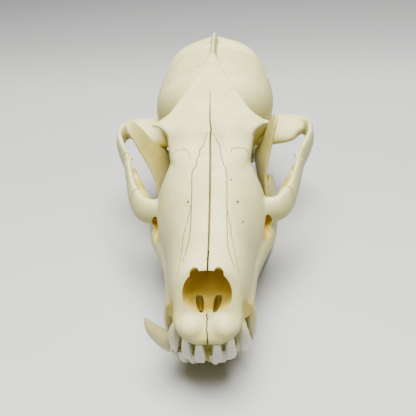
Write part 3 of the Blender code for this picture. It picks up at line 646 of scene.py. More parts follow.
def enamel_finish(name, crown, neck):
    """Enamel: hard, smooth and glossy, bluish white at the tips and creamier towards the roots."""
    look, tree, surface, where = new_finish(name)
    cloud = node(tree, "ShaderNodeTexNoise", {"Scale": 500.0, "Detail": 2.0}, Vector=where)
    warmth = node(tree, "ShaderNodeAttribute", {"attribute_name": "warmth"})
    # A quarter of the neck's tone comes and goes in clouds of 2 mm, and the rest follows the marked roots
    share = node(
        tree, "ShaderNodeMath", {"operation": "MULTIPLY_ADD", "use_clamp": True, 1: 0.25},
        cloud.outputs["Fac"], None, warmth.outputs["Fac"],
    )
    tone = node(
        tree, "ShaderNodeMixRGB", {"Color1": linear(crown), "Color2": linear(neck)},
        Fac=share.outputs["Value"],
    )
    tree.links.new(tone.outputs["Color"], surface.inputs["Base Color"])
    set_shader(surface, {
        "Roughness": 0.22, "IOR": 1.63, "Subsurface Weight": 0.2, "Subsurface Radius": (1.0, 0.85, 0.65),
        "Subsurface Scale": 0.0008,
    })
    return look


ENAMEL = enamel_finish("tooth enamel", "b2b3a2", "b2a466")
CANINE_ENAMEL = enamel_finish("yellowed canine enamel", "aea87c", "9c8f4a")
for side, name in ((1, "left"), (-1, "right")):
    teeth = [cusped_tooth(row, cusps, side, 1) for row, cusps in LOWER_CHEEK]
    shift = LOWER_INCISOR_SHIFT[name]
    lean = INCISOR_LEAN["lower"]
    teeth += [chisel_tooth((row[0] + shift, *row[1:]), side, 1, lean) for row in LOWER_INCISORS]
    row = join_meshes("lower_teeth_" + name, teeth)
    mark(row, "warmth", nearness(row, [(6.0, 10.0, -10.0, 4.5, 0.8)]))
    row.data.materials.append(ENAMEL)
    canine = bar_piece(LOWER_CANINE[name], side, CANINE_SIDES, CANINE_STEP)
    canine = join_meshes("lower_canine_" + name, [canine])
    mark(canine, "warmth", nearness(canine, [(7.0, 9.5, -9.0, 4.5, 0.9)]))
    canine.data.materials.append(CANINE_ENAMEL)
    for piece in (row, canine):
        piece.data.transform(jaw_pose(side))
        place(piece, "mandible_" + name)

# Cranium: the whole upper skull, thin dense bone over a hollow nose, cleaned and bleached. It is laid up from
# rounded cross sections and swept bars, melted into one skin, and then hollowed where a real one is open.
HOOP_SIDES = 44
MOST_TRIANGLES = 150000
# y, half width low, midway and high, low level, high level, squareness
MUZZLE = [
    (-0.3, 3.8, 3.8, 3.4, 0.9, 2.6, 0.75),
    (1.2, 6.0, 6.2, 5.4, 0.9, 4.2, 0.68),
    (3.2, 7.8, 7.9, 6.7, 0.9, 5.4, 0.66),
    (5.0, 8.4, 8.5, 7.4, 0.8, 6.9, 0.66),
    (8.0, 9.1, 8.7, 7.3, 0.4, 11.5, 0.64),
    (11.4, 10.6, 9.7, 7.2, -0.6, 15.7, 0.60),
    (18.0, 11.9, 10.7, 7.1, -1.2, 17.1, 0.60),
    (25.0, 12.7, 11.4, 7.3, -1.2, 18.8, 0.60),
    (32.0, 14.8, 13.2, 8.1, -1.2, 20.6, 0.60),
    (38.0, 17.6, 15.4, 9.7, -1.0, 22.4, 0.62),
    (43.5, 18.4, 16.2, 11.4, -0.6, 24.8, 0.64),
    (48.0, 17.0, 14.2, 12.4, 0.4, 26.8, 0.62),
    (52.0, 13.5, 11.0, 12.8, 1.0, 28.2, 0.62),
    (56.0, 10.0, 9.0, 12.4, 1.6, 29.4, 0.66),
]
FOREHEAD = [
    (44.0, 11.0, 10.5, 11.0, 8.0, 24.8, 0.56),
    (50.0, 10.5, 11.0, 13.4, 8.0, 27.6, 0.48),
    (54.0, 10.6, 11.4, 14.2, 12.0, 29.2, 0.46),
    (57.4, 10.2, 11.6, 15.0, 13.4, 30.4, 0.46),
    (60.0, 9.6, 11.4, 15.4, 14.4, 31.4, 0.48),
    (62.5, 9.4, 11.0, 13.6, 15.0, 32.2, 0.50),
    (66.0, 9.4, 10.4, 11.4, 15.0, 33.2, 0.56),
    (71.0, 9.6, 9.8, 9.0, 15.0, 34.8, 0.65),
    (78.0, 9.0, 8.2, 5.4, 20.0, 36.8, 0.70),
    (86.0, 7.0, 5.0, 2.4, 28.0, 38.2, 0.80),
    (90.0, 5.0, 3.0, 1.5, 32.0, 37.8, 0.80),
]
ORBIT_WALL = [
    (42.0, 9.0, 9.0, 8.4, 0.5, 22.0, 0.80),
    (50.0, 9.0, 9.0, 8.8, 0.8, 25.0, 0.80),
    (58.0, 8.4, 8.6, 9.0, 2.0, 27.0, 0.80),
    (64.0, 8.2, 8.6, 9.0, 5.0, 29.0, 0.85),
    (72.0, 9.6, 9.6, 9.4, 7.0, 31.0, 0.90),
]
BRAINCASE = [
    (66.0, 8.6, 8.4, 8.0, 8.0, 30.5, 0.90),
    (71.0, 9.8, 9.8, 9.2, 7.0, 32.0, 0.90),
    (76.0, 12.8, 13.2, 11.8, 6.0, 33.4, 0.88),
    (82.0, 16.6, 17.6, 15.0, 5.0, 34.6, 0.87),
    (88.0, 18.8, 20.2, 17.2, 4.4, 35.4, 0.87),
    (94.0, 19.6, 21.0, 17.8, 4.0, 35.8, 0.87),
    (100.0, 19.8, 21.2, 17.6, 4.0, 35.8, 0.88),
    (106.0, 19.2, 20.8, 17.6, 4.2, 35.6, 0.88),
    (111.0, 18.2, 19.9, 16.8, 4.8, 35.2, 0.86),
    (115.0, 16.6, 18.4, 15.6, 5.6, 34.8, 0.85),
    (117.6, 14.4, 16.6, 14.0, 7.5, 34.4, 0.84),
    (119.6, 11.4, 13.4, 10.8, 10.0, 33.8, 0.86),
    (120.6, 7.0, 8.4, 7.0, 14.0, 33.0, 0.88),
]
SKULL_BASE = [
    (60.0, 5.2, 5.2, 5.2, 4.5, 12.0, 0.80),
    (72.0, 5.6, 5.6, 5.6, 4.0, 12.0, 0.80),
    (84.0, 6.6, 6.6, 6.6, 3.2, 12.0, 0.75),
    (98.0, 7.4, 7.4, 7.4, 2.8, 12.0, 0.70),
    (110.0, 8.6, 8.6, 8.6, 3.4, 12.0, 0.75),
    (117.0, 6.4, 6.4, 6.4, 5.0, 10.0, 0.80),
]
PALATE = [
    (3.0, 5.0, 5.0, 5.0, -0.6, 3.0, 0.70),
    (12.0, 8.2, 8.2, 8.2, 0.2, 3.2, 0.70),
    (24.0, 8.8, 8.8, 8.8, 0.8, 3.6, 0.70),
    (38.0, 12.0, 12.0, 12.0, 1.0, 4.2, 0.70),
    (50.0, 14.0, 14.0, 14.0, 1.2, 4.6, 0.70),
    (59.0, 9.5, 9.5, 9.5, 1.2, 4.6, 0.75),
    (63.0, 6.4, 6.4, 6.4, 1.6, 4.4, 0.80),
]

# Swept bars of one side: x, y, z, half thickness, half height, lean of the section in degrees
TOOTH_ROW_BONE = [
    (8.0, 6.6, 2.6, 1.4, 1.5),
    (9.5, 11.4, 1.8, 1.7, 2.4),
    (10.0, 18.0, 1.6, 2.1, 3.4, 8),
    (10.9, 26.0, 1.8, 2.3, 4.0, 12),
    (13.0, 33.0, 2.2, 2.5, 4.4, 14),
    (15.6, 40.0, 2.4, 2.8, 4.4, 14),
    (16.4, 46.0, 2.6, 3.2, 3.8, 8),
    (15.2, 52.0, 2.6, 3.2, 3.4),
    (12.6, 58.0, 2.8, 2.6, 3.0),
]
CANINE_ROOT = [
    (9.9, 13.0, 1.0, 1.7, 2.2),
    (9.6, 16.5, 3.8, 1.7, 3.0, 20),
    (9.0, 21.0, 6.8, 1.5, 3.2, 26),
    (8.2, 27.0, 9.4, 1.1, 2.6, 30),
]
CHEEK_ARCH = [
    (14.0, 41.6, 9.8, 2.6, 4.2, 15),
    (19.6, 42.6, 10.4, 2.0, 3.8, 20),
    (22.6, 45.9, 11.2, 1.5, 3.9, 16),
    (24.9, 52.0, 11.6, 1.3, 3.9, 11),
    (26.8, 59.6, 11.9, 1.2, 4.0, 8),
    (28.6, 67.0, 12.4, 1.2, 4.1, 6),
    (31.3, 74.0, 13.2, 1.3, 4.0, 4),
    (33.1, 80.5, 13.6, 1.3, 3.9, 3),
    (33.3, 86.0, 13.4, 1.5, 3.7),
    (31.5, 90.5, 12.8, 1.8, 3.2),
    (28.0, 93.0, 12.4, 2.5, 3.0),
]
CHEEK_SHELF = [
    (13.0, 43.0, 6.2, 2.6, 2.6),
    (18.0, 46.8, 6.2, 2.4, 2.2),
    (21.2, 51.4, 6.8, 2.6, 1.9, 10),
    (24.1, 57.6, 8.0, 2.3, 1.9, 16),
    (27.4, 66.0, 10.0, 1.7, 2.0, 14),
]
CHEEK_HOLLOW = [
    (17.8, 45.4, 12.6, 1.2, 1.4),
    (20.7, 48.6, 13.2, 1.4, 2.2),
    (23.3, 54.0, 13.2, 1.4, 2.6),
    (25.4, 61.0, 13.2, 1.2, 2.6),
    (27.2, 67.6, 13.5, 1.0, 2.3),
    (29.2, 73.6, 14.0, 0.8, 1.9),
    (31.2, 80.0, 14.0, 0.8, 1.7),
    (31.4, 84.0, 14.0, 0.5, 1.2),
]
CHEEK_POINT = [
    (27.6, 62.8, 13.6, 1.2, 1.6),
    (26.9, 63.6, 15.2, 1.1, 1.2),
    (26.1, 64.0, 16.5, 0.75, 0.75),
]
ARCH_ROOT = [
    (13.0, 93.0, 10.0, 6.6, 3.6, -18),
    (20.0, 91.9, 10.7, 6.9, 2.8, -22),
    (26.0, 91.0, 11.7, 6.7, 2.4, -22),
    (30.2, 89.9, 12.7, 5.6, 2.2, -20),
    (32.6, 88.2, 13.3, 2.2, 2.0, -6),
]
BROW_POINT = [
    (9.4, 58.4, 29.0, 4.4, 1.1, -20),
    (11.6, 58.9, 29.6, 3.8, 1.1, -20),
    (13.6, 59.4, 29.8, 2.9, 1.1, -16),
    (15.6, 59.9, 29.6, 1.7, 0.9, -8),
    (17.0, 60.2, 29.4, 0.8, 0.6),
    (17.9, 60.3, 29.2, 0.45, 0.45),
]
TEMPLE_LINE = [
    (15.4, 60.6, 29.5, 0.9, 0.9),
    (11.7, 63.6, 30.7, 1.3, 1.1),
    (8.0, 71.0, 33.0, 1.4, 1.2),
    (4.0, 79.5, 36.0, 1.4, 1.3),
    (1.5, 87.0, 37.7, 1.1, 1.3),
    (0.3, 94.0, 38.7, 0.8, 1.1),
]
NECK_RIDGE = [
    (0.0, 120.6, 34.6, 1.6, 1.4),
    (0.0, 120.4, 28.0, 1.6, 1.4),
    (0.0, 119.2, 20.0, 1.4, 1.2),
]
MID_CREST = [
    (0.0, 82.0, 36.0, 1.0, 1.4),
    (0.0, 88.5, 36.8, 1.0, 2.4),
    (0.0, 98.0, 36.6, 1.0, 3.0),
    (0.0, 110.0, 36.0, 1.0, 3.3),
    (0.0, 118.0, 35.6, 1.0, 3.2),
    (0.0, 121.6, 36.2, 0.9, 2.1),
]
NECK_CREST = [
    (0.0, 120.4, 35.6, 2.6, 1.2),
    (5.0, 119.6, 34.4, 2.6, 1.1),
    (9.5, 118.2, 33.0, 2.8, 1.2),
    (13.2, 115.9, 30.7, 3.0, 1.2),
    (16.0, 113.4, 26.8, 3.0, 1.2),
    (18.1, 110.7, 21.8, 2.8, 1.3),
    (19.6, 107.6, 15.0, 2.6, 1.8),
    (19.0, 105.2, 9.0, 2.4, 2.2),
]
PTERYGOID = [
    (7.4, 55.0, 4.0, 1.0, 3.4),
    (6.4, 63.0, 3.2, 0.8, 4.4),
    (5.8, 70.0, 2.4, 0.7, 4.8),
    (5.6, 76.0, 1.0, 0.7, 4.0),
    (5.4, 80.0, -2.0, 0.6, 1.4),
]
NECK_PROCESS = [
    (13.2, 107.0, 8.0, 3.0, 3.6),
    (13.6, 108.2, 3.0, 2.0, 2.8),
    (13.8, 108.6, -1.4, 1.3, 1.9),
    (13.8, 108.2, -4.4, 0.6, 0.8),
]
EAR_CAPSULE = ((11.4, 98.6, 1.2), (6.3, 9.4, 7.0))
LIP_MOUND = ((3.6, 3.8, 2.9), (3.7, 3.8, 3.4))
NECK_CONDYLE = ((7.4, 117.4, 8.2), (4.4, 3.6, 5.2))
# Where bars and sections meet too sharply and are rubbed down: x, y, z, reach, rounds
RUBBED = [
    (13.5, 58.6, 30.0, 3.4, 24), (9.4, 20.0, 6.0, 6.0, 14), (12.0, 33.0, 5.0, 6.0, 10),
    (16.5, 45.0, 6.0, 5.0, 10),
]

# Hollows and holes, in the same columns as the bone around them
NASAL_HOLLOW = [
    (-3.0, 3.2, 3.2, 3.2, 12.4, 14.4, 0.90),
    (1.0, 3.4, 3.6, 3.4, 10.4, 14.4, 0.90),
    (3.0, 3.8, 4.6, 3.8, 8.4, 14.4, 0.85),
    (5.0, 4.2, 5.5, 4.4, 6.4, 14.4, 0.80),
    (7.0, 4.6, 6.0, 4.8, 4.8, 14.8, 0.74),
    (11.0, 5.2, 6.2, 4.9, 3.6, 15.1, 0.66),
    (14.0, 5.4, 6.4, 4.9, 3.4, 15.4, 0.66),
    (18.0, 5.4, 6.5, 5.0, 3.4, 15.7, 0.72),
    (28.0, 5.0, 6.6, 5.2, 4.0, 17.4, 0.80),
    (38.0, 4.0, 5.4, 4.4, 6.0, 17.8, 0.90),
]
NASAL_NOTCH = ((2.95, 10.3, 13.6), (1.2, 1.25, 5.0))
CHOANA = [
    (60.0, 3.6, 3.6, 3.6, 4.0, 9.0, 0.80),
    (66.0, 4.4, 4.4, 4.4, -4.0, 9.0, 0.80),
    (74.0, 4.6, 4.6, 4.6, -6.0, 6.0, 0.80),
    (84.0, 4.4, 4.4, 4.4, -8.0, 3.0, 0.80),
]
SPINAL_HOLE = [
    (104.0, 4.2, 4.2, 4.2, 8.0, 14.0, 0.95),
    (110.0, 5.8, 5.8, 5.8, 6.6, 16.0, 0.90),
    (126.0, 7.0, 7.0, 7.0, 6.0, 17.4, 0.90),
]
CHEEK_CANAL = [
    (22.6, 29.6, 4.8, 2.0, 2.8),
    (17.2, 34.4, 6.2, 2.0, 2.8),
    (15.2, 44.0, 9.0, 1.6, 2.3),
    (14.8, 54.0, 9.6, 1.4, 2.1),
]
ORBIT = ((16.0, 60.0, 17.0), (7.0, 12.0, 11.6))
CANINE_NOTCH = ((11.7, 7.9, 3.6), (3.6, 3.0, 7.6))
PALATE_SLIT = [
    (1.65, 6.1, 3.0, 0.35, 4.0),
    (1.75, 7.2, 3.0, 0.65, 4.6),
    (2.1, 9.8, 3.0, 0.95, 4.6),
    (2.4, 12.6, 3.0, 1.05, 4.0),
    (2.5, 14.0, 3.0, 0.7, 3.0),
]
LIP_CLEFT = [
    (0.0, 1.0, 4.4, 0.12, 0.6),
    (0.0, 0.0, 3.2, 0.16, 0.8),
    (0.0, -0.4, 2.0, 0.24, 0.9),
    (0.0, -0.2, 0.4, 0.34, 0.9),
]
EAR_HOLE = ((18.6, 97.0, 4.6), (3.2, 1.9, 1.7))


def cross_hoops(table):
    """Rounded square sections across the skull, their upper and lower halves of different widths."""
    hoops = []
    for y in marks(table[0][0], table[-1][0], HOOP_STEP):
        wide_low, wide_mid, wide_high, low, high, squareness = read(table, y)
        hoop = []
        for i in range(HOOP_SIDES):
            turn = 2 * math.pi * i / HOOP_SIDES
            up = squared(math.sin(turn), squareness)
            spread = (wide_high + wide_low) / 2 - wide_mid
            width = wide_mid + (wide_high - wide_low) / 2 * up + spread * up * up
            level = (low + high) / 2 + (high - low) / 2 * up
            hoop.append((width * squared(math.cos(turn), squareness), y, level))
        hoops.append(hoop)
    return hoops


def across_piece(table):
    return hooped("part", cross_hoops(table))


def thin_out(thing, triangles):
    """Fewer faces of the same form, where a skin has more than it needs."""
    count = sum(len(face.vertices) - 2 for face in thing.data.polygons)
    if count > triangles:
        fewer = thing.modifiers.new("fewer", "DECIMATE")
        fewer.ratio = triangles / count
        settle_mesh(thing)


def rub(thing, places):
    """Rub the skin down around each place, on both sides: x, y, z, reach, rounds."""
    shape = bmesh.new()
    shape.from_mesh(thing.data)
    for x, y, z, reach, rounds in places:
        near = [
            vert for vert in shape.verts
            if math.dist((abs(vert.co.x), vert.co.y, vert.co.z), (x * MM, y * MM, z * MM)) < reach * MM
        ]
        for _ in range(rounds):
            bmesh.ops.smooth_vert(
                shape, verts=near, factor=0.5, use_axis_x=True, use_axis_y=True, use_axis_z=True
            )
    shape.to_mesh(thing.data)
    shape.free()


# The slab that holds a cheek bone: its outline (y, z), its reach in x, and how far its front end slants
JUGAL_OUTLINE = [
    (45.4, -6.0), (44.6, 6.0), (46.4, 22.0), (66.6, 24.0), (67.6, 14.6), (84.0, 11.7), (84.0, -6.0),
]
JUGAL_REACH = (19.2, 42.0)
JUGAL_SLANT = 5.0
JUGAL_FRONT = 60.0


def jugal_block(side, grow):
    """The slab that holds one cheek bone, its outline offset outwards by grow."""
    count = len(JUGAL_OUTLINE)
    moved = []
    for i, point in enumerate(JUGAL_OUTLINE):
        here = Vector(point)
        back = (here - Vector(JUGAL_OUTLINE[i - 1])).normalized()
        forth = (Vector(JUGAL_OUTLINE[(i + 1) % count]) - here).normalized()
        out_back, out_forth = Vector((-back.y, back.x)), Vector((-forth.y, forth.x))
        middle = (out_back + out_forth).normalized()
        moved.append(here + middle * grow / max(0.2, middle.dot(out_back)))
    inner, outer = JUGAL_REACH
    return hooped("block", [
        [(side * x, y + (slant if y < JUGAL_FRONT else 0.0), z) for y, z in moved]
        for x, slant in ((inner - grow, JUGAL_SLANT / 2), (outer, -JUGAL_SLANT / 2))
    ])


# Seams between the bones as they run seen from above: x, y
MIDLINE = [
    (-0.2, 71.4), (-0.1, 65.5), (0.0, 59.2), (0.35, 55.4), (0.2, 52.8), (0.3, 45.2), (0.33, 35.7),
    (0.37, 27.3), (0.36, 19.4), (0.28, 12.6), (0.24, 10.6),
]
NASAL_SEAM_RIGHT = [
    (-0.6, 54.6), (-1.4, 51.5), (-1.7, 49.8), (-2.7, 48.5), (-2.8, 46.9), (-3.4, 46.0), (-3.6, 43.8),
    (-4.5, 42.4), (-4.8, 41.0), (-4.7, 36.3), (-4.6, 31.3), (-4.5, 26.4), (-4.5, 23.2), (-4.7, 20.1),
    (-5.2, 17.6), (-5.7, 15.3), (-6.1, 13.7),
]
NASAL_SEAM_LEFT = [
    (0.9, 54.2), (2.0, 51.7), (3.0, 49.4), (3.3, 46.7), (3.8, 44.6), (4.5, 42.8), (4.8, 41.6), (4.9, 37.7),
    (4.9, 31.2), (4.9, 25.7), (5.0, 21.6), (5.1, 18.6), (5.6, 15.7), (6.3, 14.0), (6.8, 12.8),
]
LIP_SEAM_RIGHT = [
    (-4.8, 31.2), (-5.3, 27.4), (-5.9, 24.8), (-6.3, 22.6), (-6.4, 19.6), (-6.6, 16.6), (-6.8, 14.0),
    (-7.2, 11.0),
]
LIP_SEAM_LEFT = [
    (4.9, 30.0), (5.4, 27.5), (5.9, 24.3), (6.1, 21.3), (6.6, 18.6), (7.1, 15.8), (7.5, 13.8), (7.9, 12.0),
]
BROW_SEAM_LEFT = [(6.1, 47.8), (6.4, 48.8), (7.3, 49.1), (8.4, 49.3), (10.4, 49.7), (11.3, 48.9)]
BROW_SEAM_RIGHT = [(-5.5, 45.6), (-6.0, 48.1), (-7.3, 48.9), (-9.7, 49.3), (-10.9, 49.0)]
LIP_MIDLINE = [(0.15, 8.6), (0.0, 6.6), (0.1, 5.4), (-0.1, 4.0), (-0.15, 2.6), (-0.1, 1.4), (0.0, 0.2)]
# path, half width at the start, midway and at the end, depth, how far it wanders to each side
SEAMS = [
    (MIDLINE, 0.09, 0.33, 0.24, 1.3, 0.02),
    (NASAL_SEAM_RIGHT, 0.1, 0.15, 0.13, 0.4, 0.06),
    (NASAL_SEAM_LEFT, 0.1, 0.13, 0.12, 0.4, 0.06),
    (LIP_SEAM_RIGHT, 0.09, 0.12, 0.1, 0.3, 0.06),
    (LIP_SEAM_LEFT, 0.09, 0.12, 0.1, 0.3, 0.06),
    (BROW_SEAM_LEFT, 0.1, 0.12, 0.09, 0.3, 0.06),
    (BROW_SEAM_RIGHT, 0.05, 0.07, 0.05, 0.25, 0.06),
    (LIP_MIDLINE, 0.14, 0.2, 0.18, 0.5, 0.1),
]
# How finely a seam is followed, how far its ribbon stands out of the skin, how much narrower it is at its
# foot, and the share of its run past which it takes its last width
SEAM_STEP = 0.45
SEAM_AHEAD = 0.4
SEAM_TOP = 0.5
SEAM_FOOT = 0.7
SEAM_LATE = 0.6
# The cleft between the two lip bones is swept finely
CLEFT_SIDES = 12
CLEFT_STEP = 0.6
# Small holes for vessels, where they open: x, y, radius
VESSEL_HOLES = [
    (-5.6, 32.7, 0.28), (7.8, 33.6, 0.3), (9.1, 28.8, 0.25), (-5.2, 92.6, 0.32), (5.6, 101.0, 0.25),
    (6.1, 39.6, 0.22),
]
# A level above the whole skull
ABOVE_ALL = 60.0
# Where fat stain and painted shade are marked in the cranium, and where painted shade alone is: x, y, z,
# reach, strength
CRANIUM_STAIN_AND_SHADE = [
    (15.0, 84.0, 8.0, 9.0, 1.0), (9.0, 68.0, 14.0, 9.0, 0.9), (9.0, 60.0, 14.0, 9.0, 0.35),
    (0.0, 1.0, 2.6, 4.0, 0.4), (26.0, 90.0, 14.0, 8.0, 0.12), (18.5, 78.0, 22.0, 9.0, 0.22),
    (10.0, 9.0, 3.5, 4.5, 1.0), (1.0, 9.5, 4.0, 3.6, 1.0), (3.4, 10.5, 4.6, 2.6, 0.8),
    (19.0, 37.0, 4.0, 6.0, 0.3), (8.0, 92.0, 35.0, 4.0, 0.1), (21.0, 100.0, 18.0, 9.0, 0.14),
]
# Painted shade on the sides of the forehead and the muzzle
CRANIUM_PAINTED_SHADE = [(10.5, 54.0, 28.0, 4.5, 0.6), (8.6, 44.0, 24.0, 4.0, 0.3), (9.0, 30.0, 17.0, 5.0, 0.3)]
# The skull's seats clear the rollers of the jaw by this much more than the bones' gap
SEAT_PLAY = 0.2


def cut_faces(cutters, finish):
    """Give the walls that a cutter leaves a finish of their own."""
    for cutter in cutters:
        count = len(cutter.data.polygons)
        cutter.data.polygons.foreach_set("material_index", [CRANIUM_FINISHES.index(finish)] * count)
    return cutters


def from_above(skin, x, y):
    """Where a line straight down meets the skin, and which way the skin faces there."""
    spot, facing, _, _ = skin.ray_cast(Vector((x, y, ABOVE_ALL)) * MM, Vector((0, 0, -1)))
    return (spot / MM, facing) if spot else (None, None)


def seam_ribbon(skin, path, first, middle, last, depth, wander):
    """A thin upright ribbon sunk in the skin along a seam, wandering as the bones' teeth interlock."""
    table, run = [], 0.0
    for i, (x, y) in enumerate(path):
        run += math.dist(path[i - 1], path[i]) if i else 0.0
        table.append((run, x, y))
    hoops = []
    for i, at in enumerate(marks(0.0, run, SEAM_STEP)):
        x, y = read(table, at)
        ahead = Vector(read(table, at + SEAM_AHEAD)) - Vector(read(table, at - SEAM_AHEAD))
        aside = Vector((ahead.y, -ahead.x, 0)).normalized()
        # Two waves that don't fall together make the wander look like chance
        swing = wander * (math.sin(2.1 * i) + 0.7 * math.sin(0.83 * i + 1.0))
        spot, facing = from_above(skin, x + aside.x * swing, y + aside.y * swing)
        if not spot:
            continue
        # The seam opens over the first third of its run
        share = at / run
        half = first + (middle - first) * min(1.0, 3 * share)
        if share > SEAM_LATE:
            half = middle + (last - middle) * (share - SEAM_LATE) / (1 - SEAM_LATE)
        foot = half * SEAM_FOOT
        hoops.append([
            spot + aside * over + facing * rise
            for over, rise in ((half, SEAM_TOP), (-half, SEAM_TOP), (-foot, -depth), (foot, -depth))
        ])
    return hooped("seam", hoops)


WHITE_BONE = bone_finish("bleached bone", "f3efb6", "dad69c", "bcac34", "a6a16a")
# The amber inside the nose is partly stained bone and partly painted light for the light that shines through
# the thin bone
NOSE_AMBER_AND_PAINTED_LIGHT = bone_finish(
    "amber bone inside the nose", "f0dc6c", "e6d05a", "a08418", "eed868", (-0.0468, -0.0412, "ece4a0")
)
SEAM_BONE = bone_finish("brown bone in the seams", "84701e", "6a581a", "4a3a0c", "725e1a")
# Painted shade: the slits' walls take a darker amber for the shade inside them, over the bone's own amber
SLIT_AMBER_AND_SHADE = bone_finish("dark amber bone in the slits", "c0a428", "aa9020", "847214", "b0982a")
# The cheek canal's amber is partly stained bone and partly painted light: its deep part is bright against the
# shade in it, and its lit mouth is duller
CANAL_AMBER_AND_PAINTED_LIGHT = bone_finish(
    "amber bone in the cheek canal", "e2c430", "d0b024", "ac8c18", "d8ba30", (-0.0150, -0.0112, "a8a26c")
)
CRANIUM_FINISHES = [WHITE_BONE, NOSE_AMBER_AND_PAINTED_LIGHT, SEAM_BONE, SLIT_AMBER_AND_SHADE, CANAL_AMBER_AND_PAINTED_LIGHT]
cranium = across_piece(MUZZLE)
cranium.name = "cranium_bone"
bpy.context.scene.collection.objects.link(cranium)
parts = [across_piece(table) for table in (FOREHEAD, ORBIT_WALL, BRAINCASE, SKULL_BASE, PALATE)]
parts += [bar_piece(MID_CREST), bar_piece(NECK_RIDGE)]
for side in (-1, 1):
    for rows in (
        TOOTH_ROW_BONE, CANINE_ROOT, CHEEK_ARCH, CHEEK_SHELF, CHEEK_POINT, ARCH_ROOT,
        BROW_POINT, TEMPLE_LINE, NECK_CREST, PTERYGOID, NECK_PROCESS,
    ):
        parts.append(bar_piece(rows, side))
    parts += [egg(*lump, side) for lump in (LIP_MOUND, EAR_CAPSULE, NECK_CONDYLE)]
combine(cranium, parts, "UNION")
melt(cranium)
thin_out(cranium, MOST_TRIANGLES)
rub(cranium, RUBBED)
cranium.data.materials.clear()
for finish in CRANIUM_FINISHES:
    cranium.data.materials.append(finish)
shape = bmesh.new()
shape.from_mesh(cranium.data)
skin = BVHTree.FromBMesh(shape)
shape.free()
seams = [seam_ribbon(skin, *seam) for seam in SEAMS]
for x, y, radius in VESSEL_HOLES:
    seams.append(egg(from_above(skin, x, y)[0], (radius, radius * 1.3, radius * 2)))
seams.append(bar_piece(LIP_CLEFT, 1, CLEFT_SIDES, CLEFT_STEP))
hollows = cut_faces(seams, SEAM_BONE) + cut_faces([across_piece(NASAL_HOLLOW)], NOSE_AMBER_AND_PAINTED_LIGHT)
hollows += [across_piece(table) for table in (CHOANA, SPINAL_HOLE)]
for side in (-1, 1):
    hollows += [egg(*hole, side) for hole in (ORBIT, EAR_HOLE, CANINE_NOTCH)]
    hollows.append(bar_piece(CHEEK_HOLLOW, side))
    hollows += cut_faces([egg(*NASAL_NOTCH, side), bar_piece(PALATE_SLIT, side)], SLIT_AMBER_AND_SHADE)
    hollows += cut_faces([bar_piece(CHEEK_CANAL, side)], CANAL_AMBER_AND_PAINTED_LIGHT)
combine(cranium, hollows, "DIFFERENCE")
arch_skin = cranium.data.copy()
gaps = [jugal_block(side, BONE_GAP) for side in (-1, 1)]
for side in (-1, 1):
    seat = egg(*JAW_HINGE, side, BONE_GAP + SEAT_PLAY)
    seat.data.transform(jaw_pose(side))
    gaps.append(seat)
combine(cranium, gaps, "DIFFERENCE")
main_shell(cranium)
# Fat stain and painted shade in the cranium's hollows, and painted shade on its walls and the marked sides
mark_stain_and_shade(cranium, CRANIUM_STAIN_AND_SHADE, CRANIUM_PAINTED_SHADE)
place(cranium, "cranium")

# Cheek bones: one thin curved bar on each side, of the same dry bone, butted to the skull at two real sutures
# with a hair's gap. Each is cut out of the same skin as the arch that it is part of, so the arch runs on.
# Fat stain and painted shade on the inner face of the cheek bone
CHEEK_STAIN_AND_SHADE = [
    (21.0, 51.0, 8.0, 4.4, 1.0), (23.0, 58.0, 10.0, 4.0, 1.0), (26.0, 65.0, 11.6, 3.0, 0.8),
    (30.0, 76.0, 12.0, 3.0, 0.3),
]
for side, name in ((1, "jugal_left"), (-1, "jugal_right")):
    cheek = bpy.data.objects.new(name + "_bone", arch_skin.copy())
    bpy.context.scene.collection.objects.link(cheek)
    combine(cheek, [jugal_block(side, 0.0)], "INTERSECT")
    main_shell(cheek)
    mark_stain_and_shade(cheek, CHEEK_STAIN_AND_SHADE)
    place(cheek, name)

# Upper teeth: three incisors, one canine, four premolars and two molars to a side, of the same enamel. The
# middle incisors stand apart, and the canines are long and slightly splayed.
UPPER_CANINE = [
    (8.8, 14.8, 4.0, 1.2, 1.8),
    (9.6, 13.8, 1.2, 1.7, 2.4),
    (10.4, 13.0, -1.4, 1.8, 2.4),
    (10.8, 12.5, -4.8, 1.5, 2.0),
    (11.1, 12.6, -8.6, 1.0, 1.4),
    (11.2, 13.1, -12.0, 0.35, 0.4),
]
UPPER_INCISORS = [
    (2.1, 0.9, 0.8, 84.0, 2.6, 2.7, 6.3),
    (5.1, 1.9, 1.8, 66.0, 2.6, 3.0, 7.1),
    (8.4, 4.8, 1.6, 42.0, 2.7, 3.1, 7.2),
]
UPPER_SHEAR = [(-0.2, 0.2, 1.0, 0.4, 0.6), (0.5, 0.25, 0.6, 0.4, 0.5), (-0.7, -0.6, 0.4, 0.25, 0.3)]
UPPER_CHEEK = [
    ((10.2, 17.8, -0.6, 2.0, 3.2, 2.4, 2.8), PEG),
    ((10.7, 23.4, -0.6, 8.0, 6.4, 2.8, 4.2), PREMOLAR),
    ((12.7, 31.4, -0.6, 18.0, 7.4, 3.2, 4.8), PREMOLAR),
    ((15.6, 40.6, -0.4, 14.0, 11.4, 4.6, 6.2), UPPER_SHEAR),
    ((14.8, 49.2, 0.0, -12.0, 8.0, 9.8, 4.2), GRINDER),
    ((12.4, 56.0, 0.6, -24.0, 5.8, 7.8, 3.4), GRINDER),
]
teeth = []
for side in (-1, 1):
    teeth += [cusped_tooth(row, cusps, side, -1) for row, cusps in UPPER_CHEEK]
    teeth += [chisel_tooth(row, side, -1, INCISOR_LEAN["upper"]) for row in UPPER_INCISORS]
row = join_meshes("upper_teeth", teeth)
mark(row, "warmth", nearness(row, [(6.0, 4.0, 1.5, 3.0, 0.6), (10.0, 13.0, 1.0, 4.0, 0.6)]))
row.data.materials.append(ENAMEL)
canines = [bar_piece(UPPER_CANINE, side, CANINE_SIDES, CANINE_STEP) for side in (-1, 1)]
canines = join_meshes("upper_canines", canines)
